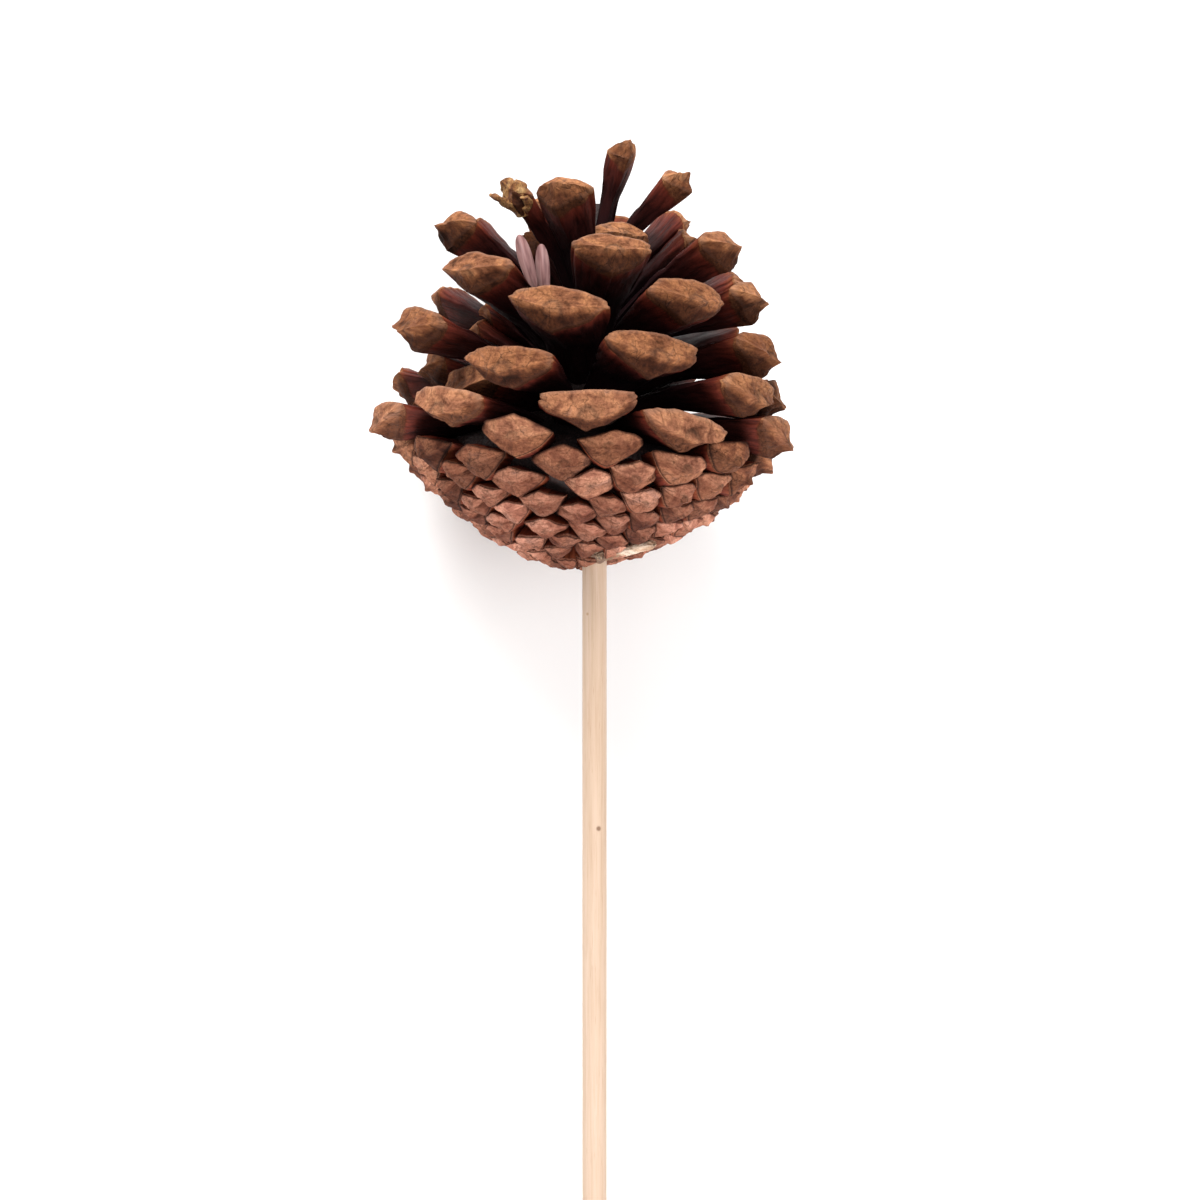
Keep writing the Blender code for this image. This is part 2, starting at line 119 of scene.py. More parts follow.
def makePineScaleMaterial(name, look):
    # dry pine scale wood: matt tan heads with fine cracks and a dark boss, dark satin shanks behind them
    material, tree = newMaterial(name)
    read = {}
    for key in ("scalePlace", "scaleRays", "scaleZone", "scaleKind"):
        read[key] = addNode(tree, "Attribute", {"attribute_name": key}).outputs["Vector"]
    place = read["scalePlace"]
    zone = addNode(tree, "SeparateXYZ", None, {0: read["scaleZone"]}).outputs  # head, way back, edge
    # the tone also carries painted light on each head's upper facet and painted shade on its lower facet
    kind = addNode(tree, "SeparateXYZ", None, {0: read["scaleKind"]}).outputs  # tone, warmth, boss
    alongShank = addNode(tree, "VectorMath", {"operation": "MULTIPLY"}, {
        0: place, 1: look["streakStretch"],
    }).outputs["Vector"]

    # patches, grit, rays from the boss, streaks along the shank: size, detail, roughness, distortion
    noises = {}
    for key, source, size, detail, roughness, distortion in (
        ("mottle", place, look["mottleSize"], 5.0, 0.62, 0.6),
        ("grit", place, look["gritSize"], 4.0, 0.7, 0.0),
        ("ray", read["scaleRays"], 1.0, 4.0, 0.65, 0.3),
        ("streak", alongShank, look["streakSize"], 4.0, 0.6, 0.0),
    ):
        noises[key] = addNode(tree, "TexNoise", None, {
            "Vector": source, "Scale": 1 / size,
            "Detail": detail, "Roughness": roughness, "Distortion": distortion,
        }).outputs["Fac"]

    # cracks between wandering plates
    crackNoise = addNode(tree, "TexNoise", None, {
        "Vector": place, "Scale": 1 / look["crackWander"], "Detail": 3.0,
    }).outputs["Color"]
    bentPlace = addNode(tree, "VectorMath", {"operation": "MULTIPLY_ADD"}, {
        0: crackNoise, 1: (look["crackBend"],) * 3, 2: place,
    }).outputs["Vector"]
    crackGap = addNode(tree, "TexVoronoi", {"feature": "DISTANCE_TO_EDGE"}, {
        "Vector": bentPlace, "Scale": 1 / look["crackSize"], "Randomness": 1.0,
    }).outputs["Distance"]

    # the borders of head and shank wander with the patches, and grit roughens the gloss
    centred = {}
    for key in ("mottle", "grit"):
        centred[key] = addNode(tree, "Math", {"operation": "SUBTRACT"}, {
            0: noises[key], 1: 0.5,
        }).outputs["Value"]
    wandered = {}
    for key, share in (("Y", look["backWander"]), ("X", look["headWander"])):
        wandered[key] = addNode(tree, "Math", {"operation": "MULTIPLY_ADD"}, {
            0: centred["mottle"], 1: share, 2: zone[key],
        }).outputs["Value"]

    # soft steps: what is read, from where to where, and the shares they run between
    steps = {}
    for key, source, (low, high), (first, last) in (
        ("crack", crackGap, (0.0, look["crackWidth"]), (1.0, 0.0)),
        ("crackedPatch", noises["mottle"], look["crackedPatches"], (0.0, 1.0)),
        ("edge", zone["Z"], (look["edgeFrom"], 1.0), (0.0, look["edgeShare"])),
        ("rim", zone["Z"], (-look["rimHighlightFrom"], -1.0), (0.0, look["rimHighlightShare"])),
        ("head", wandered["X"], look["headBorder"], (0.0, 1.0)),
    ):
        steps[key] = addNode(tree, "MapRange", {"interpolation_type": "SMOOTHSTEP"}, {
            "Value": source, "From Min": low, "From Max": high, "To Min": first, "To Max": last,
        }).outputs["Result"]
    shares = {}
    for key, first, second in (
        ("cracked", steps["crack"], steps["crackedPatch"]), ("boss", kind["Z"], look["bossShare"]),
    ):
        shares[key] = addNode(tree, "Math", {"operation": "MULTIPLY", "use_clamp": True}, {
            0: first, 1: second,
        }).outputs["Value"]
    crackShare = addNode(tree, "Math", {"operation": "MULTIPLY"}, {
        0: shares["cracked"], 1: look["crackShare"],
    }).outputs["Value"]

    tones = {}
    for key, source in (
        ("lowerFace", noises["mottle"]), ("upperFace", noises["mottle"]), ("rayTone", noises["ray"]),
        ("gritTone", noises["grit"]), ("boss", noises["grit"]), ("ownTone", kind["X"]),
        ("shank", wandered["Y"]), ("streakTone", noises["streak"]),
    ):
        tones[key] = addNode(tree, "ValToRGB", {"stops": look[key]}, {"Fac": source}).outputs["Color"]

    # heads: ochre brown towards the tip of the cone, pinker round its base
    face = layTones(tree, tones["lowerFace"], (
        ("MIX", kind["Y"], tones["upperFace"]), ("MULTIPLY", look["rayShare"], tones["rayTone"]),
        ("MULTIPLY", look["gritShare"], tones["gritTone"]), ("MIX", shares["boss"], tones["boss"]),
        # the shut scales' rims get painted shade
        ("MIX", crackShare, toLinear(look["crack"])), ("MIX", steps["edge"], toLinear(look["edge"])),
        # multiplied in last: each scale's own tone, with painted light on the upper facet and painted shade
        # on the lower one
        # the open scales' rims get a painted highlight
        ("MIX", steps["rim"], toLinear(look["rim"])), ("MULTIPLY", 1.0, tones["ownTone"]),
    ))
    # shanks: red brown just behind the head, darkened to almost black further in as painted shade between
    # the scales, streaked along their length
    colour = layTones(tree, tones["shank"], (
        ("MULTIPLY", look["streakShare"], tones["streakTone"]), ("MIX", steps["head"], face),
    ))
    rough = addNode(tree, "MapRange", None, {
        "Value": steps["head"], "To Min": look["shankRoughness"], "To Max": look["faceRoughness"],
    }).outputs["Result"]
    gritty = addNode(tree, "Math", {"operation": "MULTIPLY_ADD", "use_clamp": True}, {
        0: centred["grit"], 1: look["gritRoughness"], 2: rough,
    }).outputs["Value"]

    # relief: grit and rays raised, cracks sunk, streaks on the shank
    relief = noises["grit"]
    for source, share in ((noises["ray"], look["rayRelief"]), (shares["cracked"], -look["crackRelief"])):
        relief = addNode(tree, "Math", {"operation": "MULTIPLY_ADD"}, {
            0: source, 1: share, 2: relief,
        }).outputs["Value"]
    relief = addNode(tree, "Mix", {"data_type": "FLOAT"}, {
        "Factor": steps["head"], 2: noises["streak"], 3: relief,
    }).outputs[0]
    finishSurface(tree, look, {
        "Base Color": colour, "Roughness": gritty, "Specular IOR Level": look["specular"],
    }, relief)
    return material


scaleLook = {
    # sizes in mm: patches of colour, grit, cracks between plates, streaks along the shank
    "mottleSize": 3.6, "gritSize": 0.5, "crackSize": 1.9, "crackWander": 1.3, "crackBend": 1.5,
    "crackWidth": 0.055, "streakSize": 0.9, "streakStretch": (1.0, 1.0, 0.12),
    "upperFace": [(0.32, "#623C25"), (0.44, "#A16B4C"), (0.56, "#CA8D61"), (0.70, "#9F735B")],
    "lowerFace": [(0.32, "#965E4E"), (0.44, "#BE806A"), (0.56, "#D89C84"), (0.70, "#B88878")],
    "rayTone": [(0.30, "#8F8078"), (0.55, "#FFFFFF")], "rayShare": 0.55,
    "gritTone": [(0.32, "#8A7A70"), (0.58, "#FFFFFF")], "gritShare": 0.6,
    "boss": [(0.35, "#3E281E"), (0.65, "#6A4C3A")], "bossShare": 0.75,
    "crack": "#3A221A", "crackShare": 0.4, "crackRelief": 0.6, "rayRelief": 1.0,
    # edge: painted shade on the shut scales' rims and a little behind them, in the gaps between the faces
    "edge": "#2E1712", "edgeFrom": 0.88, "edgeShare": 0.85,
    # rim: a painted highlight along the rims of the open scales
    "rim": "#B08C78", "rimHighlightFrom": 0.86, "rimHighlightShare": 0.3,
    # each scale's own tone, lighter on the upper facet as painted light and darker on the lower facet as
    # painted shade
    "ownTone": [(0.0, "#6E5E5A"), (0.5, "#BEB0A8"), (1.0, "#FFFFFF")],
    # shank: red brown behind the head, then almost black further back, painted shade deep between the
    # scales
    "shank": [(0.0, "#84442A"), (0.12, "#62271C"), (0.34, "#3A1613"), (0.8, "#1E0B0E")], "backWander": 0.3,
    "streakTone": [(0.32, "#5E4A4A"), (0.60, "#FFFFFF")], "streakShare": 0.8,
    "crackedPatches": (0.40, 0.62), "headBorder": (0.38, 0.62), "headWander": 0.5,
    "shankRoughness": 0.62, "faceRoughness": 0.82, "gritRoughness": 0.3,
    "bumpStrength": 0.75, "bumpHeight": 0.32, "specular": 0.10,
}
pineScale = makePineScaleMaterial("dryPineScaleWood", scaleLook)
print("scale material made")


# The cone's spiral: the same rule as the solids, lengths in mm
spiral = {
    "halfWidth": 34.6, "widestAt": 23.0, "bowlDepth": 26.0, "crownHeight": 47.5,
    "bowlPower": 1.5, "crownPower": 2.0, "crownRoundness": 0.72,
    "divergence": 99.502, "firstTurn": 58.6, "first": -16, "last": 155, "openFrom": 98, "frayed": 151,
    "seed": 11, "wanderTurn": 1.6, "wanderRise": 0.35, "wanderRoll": 7.0, "wanderSize": 0.05,
    "frayedFace": 0.55,
    "rows": [
        (-17, -2.9), (0, 0.0), (21, 2.8), (43, 5.7), (61, 8.2), (79, 11.5), (90, 14.3), (97, 16.4),
        (105, 19.0), (111, 22.8), (116, 26.4), (124, 33.1), (130, 38.4), (137, 45.6), (144, 54.0),
        (152, 60.3), (155, 65.5),
    ],
    "faceWidth": [
        (-3, 5.5), (0, 7.2), (5.7, 9.2), (8.6, 10.6), (12, 12.8), (16, 15.2), (18.5, 17.0), (21, 17.8),
        (25, 16.6), (37, 16.6), (47, 13.4), (58, 10.0), (66, 5.0),
    ],
    "faceHeight": [
        (-3, 4.4), (0, 4.7), (5.7, 5.1), (8.6, 5.6), (12, 6.1), (16, 6.8), (18.5, 7.3), (21, 7.6),
        (25, 7.7), (37, 7.8), (47, 7.6), (58, 7.2), (66, 5.2),
    ],
    "faceSlope": [
        (-3, -85), (0, -66), (6, -53), (12, -40), (18, -29), (24, -17), (40, 2), (60, 32), (66, 62),
    ],
    "rootRadius": 0.8, "rootHeight": 9.0, "rootClimb": 0.46,
    "rootSteepensAt": 45.0, "rootSteepening": 0.020,
    "skipped": (10, 50, 68, 93, 97),
    # scales that grew away from the rule: turn in degrees, rise, share of the reach
    "strays": {
        21: (-5, -0.8, 1), 39: (7, 0, 1), 57: (6, 0.3, 1), 75: (0, 0.2, 1), 79: (-2, -0.4, 1),
        83: (2, 0, 1), 86: (4, 1.5, 1), 90: (-3, -0.6, 1), 94: (6, -0.3, 1), 100: (-3, -1.3, 1.1),
        101: (5, -0.5, 1), 104: (-12, -0.9, 1), 105: (8, 0.5, 1.06), 107: (-20, 0, 0.85),
        108: (-3, -2.5, 1), 109: (10, -1, 0.9), 111: (0, 0, 0.7), 112: (13, 1.7, 1),
        115: (-4, -1.3, 1), 116: (0, 0, 0.95), 118: (-6, -1, 0.78), 119: (1, 0, 1),
        122: (-19, -0.3, 1.02), 123: (8, 0.3, 1), 125: (-10, 0, 0.62), 126: (-7, 0, 1),
        127: (5, 0, 0.88), 129: (-60, 0, 0.62), 130: (0, 0.4, 1), 133: (-13, -0.6, 1.04),
        134: (0, 0.3, 0.975), 136: (-20, 0, 0.7), 137: (-6, -0.1, 1), 138: (0, 0, 0.92),
        140: (-13, 0.3, 1.09), 141: (11, -0.2, 1.03), 144: (-7, 2.9, 1), 145: (18, -1.5, 0.72),
        147: (-30, -5, 0.5), 148: (0, -6, 0.5), 149: (0, -1, 0.85), 150: (0, -3, 0.45),
        151: (-12, -3.4, 0.88), 152: (0, 2.6, 1.05), 153: (0, -6, 0.6), 154: (0, -7, 0.6),
        155: (22, 1.9, 1),
    },
}


def readCurve(value, points):
    return float(np.interp(value, [p[0] for p in points], [p[1] for p in points]))


def surfaceRadius(height):
    if height < spiral["widestAt"]:
        depth = min(1.0, (spiral["widestAt"] - height) / spiral["bowlDepth"])
        return spiral["halfWidth"] * (1 - depth ** spiral["bowlPower"]) ** (1 / spiral["bowlPower"])
    climb = min(0.999, (height - spiral["widestAt"]) / spiral["crownHeight"])
    return spiral["halfWidth"] * (1 - climb ** spiral["crownPower"]) ** spiral["crownRoundness"]


def placeScales():
    # where each scale's root and tip are, and which way its face looks
    draw = random.Random(spiral["seed"])
    scales = []
    for index in range(spiral["first"], spiral["last"] + 1):
        if index in spiral["skipped"]:
            continue
        turn, rise, reach = spiral["strays"].get(index, (0, 0.0, 1.0))
        angle = math.radians(
            spiral["firstTurn"] + spiral["divergence"] * index + turn
            + draw.uniform(-1, 1) * spiral["wanderTurn"]
        )
        height = readCurve(index, spiral["rows"]) + rise + draw.uniform(-1, 1) * spiral["wanderRise"]
        roll = math.radians(draw.uniform(-1, 1) * spiral["wanderRoll"])
        size = draw.uniform(1 - spiral["wanderSize"], 1 + spiral["wanderSize"])
        if index == spiral["frayed"]:
            size *= spiral["frayedFace"]
        out = Vector((math.sin(angle), -math.cos(angle), 0))
        level = Vector((math.cos(angle), math.sin(angle), 0))
        tip = out * surfaceRadius(height) * reach + Vector((0, 0, height))
        steep = max(0.0, height - spiral["rootSteepensAt"])
        rootUp = spiral["rootHeight"] + spiral["rootClimb"] * height + spiral["rootSteepening"] * steep ** 2
        root = out * spiral["rootRadius"] + Vector((0, 0, rootUp))
        shank = (tip - root).normalized()
        side = Matrix.Rotation(roll, 3, shank) @ level
        slope = math.radians(readCurve(height, spiral["faceSlope"]))
        face = (out * math.cos(slope) + Vector((0, 0, math.sin(slope)))).normalized()
        scales.append({
            "index": index, "isOpen": index >= spiral["openFrom"], "tip": tip, "root": root, "shank": shank,
            "lift": shank.cross(side), "side": side, "face": face, "rise": face.cross(side),
            "upHeight": height, "width": readCurve(height, spiral["faceWidth"]) * size,
            "height": readCurve(height, spiral["faceHeight"]) * size,
        })
    return scales


# One scale's form, in mm or as shares of its face: what all scales share, then open and shut ones
sharedForm = {
    "lowerSharpness": 1.14, "cornerFrom": 0.75, "taper": 0.62, "plainHeight": 7.6,
    "lowShares": [(3.0, 0.5), (11.0, 1.0)], "facetPeaks": [(3.0, 2.2), (13.0, 1.0)],
    "keelSpread": 0.34, "keelFall": 1.3, "keel": 0.42, "keelWidth": 0.50, "bossRadius": 1.05,
    "bossHeight": 0.40, "moat": 0.22, "moatAt": 1.6, "moatWidth": 0.4, "lipRound": 0.24, "lipFrom": 0.90,
    "lumpHeight": 0.62, "lumpSize": 3.4, "rippleHeight": 0.24, "rippleSize": 1.0,
    "outlineRag": 0.06, "wrinkleHeight": 0.16, "lobeOver": 0.4, "headFade": 16.0, "edgeFade": 0.8,
    "wanderTurns": 1.6, "ragTurns": 5, "wrinkleTurns": 7, "wrinklesOver": 0.4, "headFrom": 0.80,
    "backLumps": 0.6, "shankLumps": 0.7, "behindFrom": 0.93, "rayTurns": 4.5, "rayReach": 0.35,
    "levelAcross": 0.45, "levelUp": 2.0, "bossTone": 0.35, "ringAt": 1.35, "ringWidth": 0.32,
    "warmth": [(4.0, 0.0), (16.0, 0.75), (26.0, 1.0)],
    "browner": [(14, 0), (22, 0.2), (34, 0.3), (40, 0.12), (50, 0)],
}
openForm = {
    **sharedForm, "around": 72, "along": 18, "rings": 15, "tall": 0.92, "above": 0.33, "drop": 0.20,
    "bulge": 0.28, "upperSharpness": 1.75, "cornerWear": 0.07, "keelPeak": 3.0, "sweep": 0.10,
    "relief": 1.0,
    "neckBack": 3.2, "neckShare": 0.80, "neckWidth": 0.97, "shankHalf": 1.25, "shankRootHalfWidth": 2.0,
    "shankSag": 0.05, "middleWidth": 0.62, "middleSwell": 1.1, "leastHalfWidth": 1.2,
    # the facet share on the next line is how much of the tone is painted light on the upper facet and
    # painted shade on the lower one
    "outlineWander": 0.16, "lobeUnder": 2.4, "facetShadeShare": 0.74, "rimSign": -1,
}
shutForm = {
    **sharedForm, "around": 52, "along": 5, "rings": 11, "tall": 1.16, "above": 0.48, "drop": 0.0,
    "bulge": 0.15, "upperSharpness": 1.14, "cornerWear": 0.0, "keelPeak": 1.5, "sweep": 0.15, "relief": 0.7,
    "depth": 9.0,
    # way along, way of the centre, share of the rim, turn towards the face, share of the sweep
    "sections": [(0.0, 0.0, 0.62, 0.0, 0.0), (0.55, 0.5, 0.86, 0.4, 0.5), (1.0, 1.0, 1.0, 1.0, 1.0)],
    "fitWithin": 18.0, "fitGaps": [(6.0, 0.10), (15.0, 0.50)], "fitCrispness": 26.0, "fitFlatten": 0.66,
    # the facet share on the next line is how much of the tone is painted facet light and shade
    "outlineWander": 0.048, "lobeUnder": 0.0, "facetShadeShare": 0.3, "rimSign": 1,
}
forms = {True: openForm, False: shutForm}


def ringedTube(around, cuts):
    # an upright tube of radius 1 and height 1, closed at both ends, its wall cut into rings
    shape = bmesh.new()
    bmesh.ops.create_cone(shape, cap_ends=True, segments=around, radius1=1, radius2=1, depth=1)
    upright = [edge for edge in shape.edges if abs(edge.verts[0].co.z - edge.verts[1].co.z) > 0.5]
    bmesh.ops.subdivide_edges(shape, edges=upright, cuts=cuts, use_grid_fill=True)
    return shape


def widestFace(shape, lowest):
    # the face of most corners above a height
    above = (face for face in shape.faces if face.calc_center_median().z > lowest)
    return max(above, key=lambda face: len(face.verts))


def scaleTemplate(around, along, rings):
    # a tube of rings whose front cap is stepped in to its middle; read back as around, along and way in
    shape = ringedTube(around, along - 1)
    frontFrom = 0.49
    for ring in range(rings - 1):
        cap = widestFace(shape, frontFrom)
        bmesh.ops.inset_region(shape, faces=[cap], thickness=1 / rings, use_even_offset=True)
    bmesh.ops.poke(shape, faces=[widestFace(shape, frontFrom)])
    bmesh.ops.recalc_face_normals(shape, faces=shape.faces)
    mesh = takeMesh("scaleTemplate", shape)
    points = readPoints(mesh)
    isFace = points[:, 2] > frontFrom
    wayIn = np.clip(np.hypot(points[:, 0], points[:, 1]), 0, 1)
    return {
        "mesh": mesh, "isFace": isFace, "angle": np.arctan2(points[:, 1], points[:, 0]),
        "in": np.where(isFace, wayIn, 1.0),
        "along": np.where(isFace, 1.0, np.clip(points[:, 2] + 0.5, 0, 1)),
    }


def takeMesh(name, shape):
    mesh = bpy.data.meshes.new(name)
    shape.to_mesh(mesh)
    shape.free()
    return mesh


def readPoints(mesh):
    points = np.zeros(len(mesh.vertices) * 3)
    mesh.vertices.foreach_get("co", points)
    return points.reshape(-1, 3)


templates = {
    isOpen: scaleTemplate(form["around"], form["along"], form["rings"]) for isOpen, form in forms.items()
}


def signedPower(values, power):
    return np.sign(values) * np.abs(values) ** power


def smoothStep(values, low, high):
    t = np.clip((values - low) / (high - low), 0, 1)
    return t * t * (3 - 2 * t)


def softened(samples, rounds):
    # rounds off the bends of a profile between its two ends
    for turn in range(rounds):
        samples[1:-1] = (samples[:-2] + 2 * samples[1:-1] + samples[2:]) / 4
    return samples


def noiseRound(angle, turns, layer, seedPlace):
    # noise read round a circle: the wider the circle, the finer
    spots = (Vector((math.cos(a) * turns, math.sin(a) * turns, layer)) for a in angle)
    return np.array([noise.noise(spot + seedPlace) for spot in spots])


def waysToNeighbours(scale, form):
    # for a shut scale: the way to each near face in this face's plane, and how far this face may reach
    found = []
    gap = readCurve(scale["upHeight"], form["fitGaps"])
    for other in allScales:
        apart = other["tip"] - scale["tip"]
        flat = Vector((apart.dot(scale["side"]), apart.dot(scale["rise"])))
        if other is scale or apart.length > form["fitWithin"] or flat.length < 0.5:
            continue
        flat *= apart.length / flat.length
        share = 2 * scale["width"] / (scale["width"] + other["width"])
        # widths count for less than heights, so the borders slant and the faces come out as rhombs
        across = Vector((flat.x * form["fitFlatten"], flat.y))
        found.append((across.normalized(), share * flat.dot(across) / 2 / across.length - gap))
    return found


def measureScale(scale, form):
    high = scale["height"] * form["tall"]
    above = high * form["above"]
    # the lowest faces are flatter and rounder
    lowShare = readCurve(scale["upHeight"], form["lowShares"])
    bulge = scale["height"] * form["bulge"] * lowShare
    drop = scale["height"] * form["drop"]
    return {
        "halfWidth": scale["width"] / 2, "above": above, "below": high - above,
        "drop": drop, "bulge": bulge,
        "rim": np.array(scale["tip"]) - np.array(scale["face"]) * bulge + np.array(scale["rise"]) * drop,
        "relief": scale["height"] / form["plainHeight"] * (form["relief"] * lowShare),
    }


def openSections(scale, form, size):
    # root, middle of the shank, neck and rim: way along, centre, half width, above, below, turn, sweep
    root, lift, shank = (np.array(scale[key]) for key in ("root", "lift", "shank"))
    span = size["rim"] - root
    length = np.linalg.norm(span)
    half = form["shankHalf"]
    middle = root + span * 0.5 + lift * length * form["shankSag"]
    middleHalf = half * form["middleSwell"]
    neck = size["rim"] - shank * form["neckBack"]
    rootWidth = min(form["shankRootHalfWidth"], size["halfWidth"] * form["taper"])
    middleWidth = max(form["leastHalfWidth"], size["halfWidth"] * form["middleWidth"])
    neckWidth = size["halfWidth"] * form["neckWidth"]
    neckHeights = [size[key] * form["neckShare"] for key in ("above", "below")]
    return length, [
        (0.0, *root, rootWidth, half, half, 0.0, 0.0),
        (0.5, *middle, middleWidth, middleHalf, middleHalf, 0.0, 0.0),
        (1 - form["neckBack"] / length, *neck, neckWidth, *neckHeights, 0.5, 1.0),
        (1.0, *size["rim"], size["halfWidth"], size["above"], size["below"], 1.0, 1.0),
    ]


def shutSections(scale, form, size):
    # foot, middle and rim, in the same columns
    back = size["rim"] - np.array(scale["shank"]) * form["depth"]
    sections = []
    for way, centreWay, share, turn, sweep in form["sections"]:
        centre = back + (size["rim"] - back) * centreWay
        sizes = (size[key] * share for key in ("halfWidth", "above", "below"))
        sections.append((way, *centre, *sizes, turn, sweep))
    return form["depth"], sections


def readSections(sections, wayAlong):
    # reads each column of the sections at every point, with its bends rounded off
    steps = np.linspace(0, 1, 81)
    columns = np.array(sections, dtype=float).T
    rounded = [softened(np.interp(steps, columns[0], column), 12) for column in columns[1:]]
    return [np.interp(wayAlong, steps, column) for column in rounded]


def outlineScale(scale, form, size, angle, wayAlong, seedPlace):
    # lens outline: arched above its corners, drawn to a V below them, with worn corners
    sharp = np.where(np.sin(angle) < 0, form["lowerSharpness"], form["upperSharpness"])
    across = signedPower(np.cos(angle), 2 / sharp)
    upward = signedPower(np.sin(angle), 2 / sharp)
    across *= 1 - form["cornerWear"] * smoothStep(np.abs(across), form["cornerFrom"], 1.0)
    wander = noiseRound(angle, form["wanderTurns"], 0, seedPlace) * form["outlineWander"]
    if scale["isOpen"]:
        rag = noiseRound(angle, form["ragTurns"], 2, seedPlace) * form["outlineRag"]
        return across, upward, 1 + (wander + rag) * smoothStep(wayAlong, 0.4, 1.0)
    # neighbours bound the face, which leaves even thin gaps between the faces of the bowl
    rimAcross = across * size["halfWidth"]
    rimUp = upward * np.where(upward > 0, size["above"], size["below"])
    crowding = np.zeros(len(angle))
    for way, limit in waysToNeighbours(scale, form):
        towards = np.maximum(0, rimAcross * way.x + rimUp * way.y) / limit
        crowding += towards ** form["fitCrispness"]
    return across, upward, (1 + wander) * (1 + crowding) ** (-1 / form["fitCrispness"])


def liftFace(scale, form, size, spots):
    # how far the face stands out: a dome, a ridge from corner to corner, a boss in a hollow, rounded rims
    relief, wayIn, toMiddle = size["relief"], spots["wayIn"], spots["toMiddle"]
    fromKeel = np.abs(spots["upward"]) * wayIn * np.where(spots["upward"] > 0, size["above"], size["below"])
    facetPeak = readCurve(scale["upHeight"], form["facetPeaks"])
    onKeel = np.exp(-(np.abs(np.sin(spots["angle"])) / form["keelSpread"]) ** form["keelFall"])
    bossSize = form["bossRadius"] * relief
    out = size["bulge"] * (1 - wayIn ** (facetPeak + (form["keelPeak"] - facetPeak) * onKeel))
    out += form["keel"] * relief * np.exp(-(fromKeel / form["keelWidth"]) ** 2) * (1 - wayIn ** 3)
    out += form["bossHeight"] * relief * np.exp(-(toMiddle / bossSize) ** 4)
    fromMoat = (toMiddle - form["moatAt"] * bossSize) / form["moatWidth"]
    out -= form["moat"] * relief * np.exp(-fromMoat ** 2)
    out -= form["lipRound"] * relief * smoothStep(wayIn, form["lipFrom"], 1.0)
    behind = -form["lipRound"] * relief * smoothStep(spots["wayAlong"], form["behindFrom"], 1.0)
    return np.where(spots["isFace"], out, behind)


def lumpScale(form, spots, length, seedPlace):
    # lumps and ripples, read in the scale's own place
    lumps = np.empty(len(spots["angle"]))
    backs = (1 - spots["wayAlong"]) * length
    for at, place in enumerate(zip(spots["acrossMm"], spots["upMm"], backs)):
        lumps[at] = (
            noise.noise(Vector(place) / form["lumpSize"] + seedPlace) * form["lumpHeight"]
            + noise.noise(Vector(place) / form["rippleSize"] + seedPlace) * form["rippleHeight"]
        )
    return lumps


def readScale(scale, form, size, spots, length):
    # what the material reads at each point
    angle, wayIn, isFace = spots["angle"], spots["wayIn"], spots["isFace"]
    acrossMm, upMm, lumps, toMiddle = spots["acrossMm"], spots["upMm"], spots["lumps"], spots["toMiddle"]
    backMm = np.where(isFace, 0.0, (1 - spots["wayAlong"]) * length)
    lobe = form["lobeOver"] + form["lobeUnder"] * np.clip(-np.sin(angle), 0, 1) ** 1.5
    head = np.where(isFace, 1.0, np.clip(1.0 - 0.5 * backMm / lobe, 0, 1))
    # below 0 on open scales, whose rims get a painted highlight; above it on shut ones, whose rims and the
    # strip just behind them get painted shade
    edge = np.where(isFace, wayIn, np.clip(1 - backMm / form["edgeFade"], 0, 1)) * form["rimSign"]
    zone = np.stack([head, np.clip(backMm / form["headFade"], 0, 1), edge], 1)
    draw = random.Random(scale["index"] * 13 + 5)
    shift = np.array([draw.uniform(-500, 500) for axis in range(3)])
    place = np.stack([acrossMm, upMm, -backMm], 1) + shift[None, :]
    # lines run across above the ridge and out from the boss below it
    overKeel = spots["upward"] * wayIn * size["above"] + size["drop"] * 0.3 + lumps * 0.8
    aboveKeel = smoothStep(overKeel, -0.5, 0.5)
    turns = form["rayTurns"]
    radial = np.stack([np.cos(angle) * turns, np.sin(angle) * turns, toMiddle * form["rayReach"]], 1)
    level = np.stack([acrossMm * form["levelAcross"], upMm * form["levelUp"], -backMm], 1)
    rays = radial + (level - radial) * aboveKeel[:, None] + shift[None, :]
    # the boss stands in a dark ring
    bossSize = form["bossRadius"] * size["relief"]
    boss = form["bossTone"] * np.exp(-(toMiddle / bossSize) ** 4)
    boss += np.exp(-((toMiddle - form["ringAt"] * bossSize) / (form["ringWidth"] * bossSize)) ** 2)
    boss *= smoothStep(upMm + size["drop"] + lumps * 2, -1.2 * bossSize, 0.4 * bossSize)
    # the upper facet is painted lighter and the lower facet darker, painted light and shade over each
    # scale's own random tone
    tone = draw.random() * (1 - form["facetShadeShare"]) + form["facetShadeShare"] * aboveKeel
    tone -= readCurve(scale["upHeight"], form["browner"])
    warmth = np.full(len(angle), readCurve(scale["upHeight"], form["warmth"]))
    kind = np.stack([np.maximum(tone, 0), warmth, np.where(isFace, boss, 0)], 1)
    return {"scalePlace": place, "scaleRays": rays, "scaleZone": zone, "scaleKind": kind}


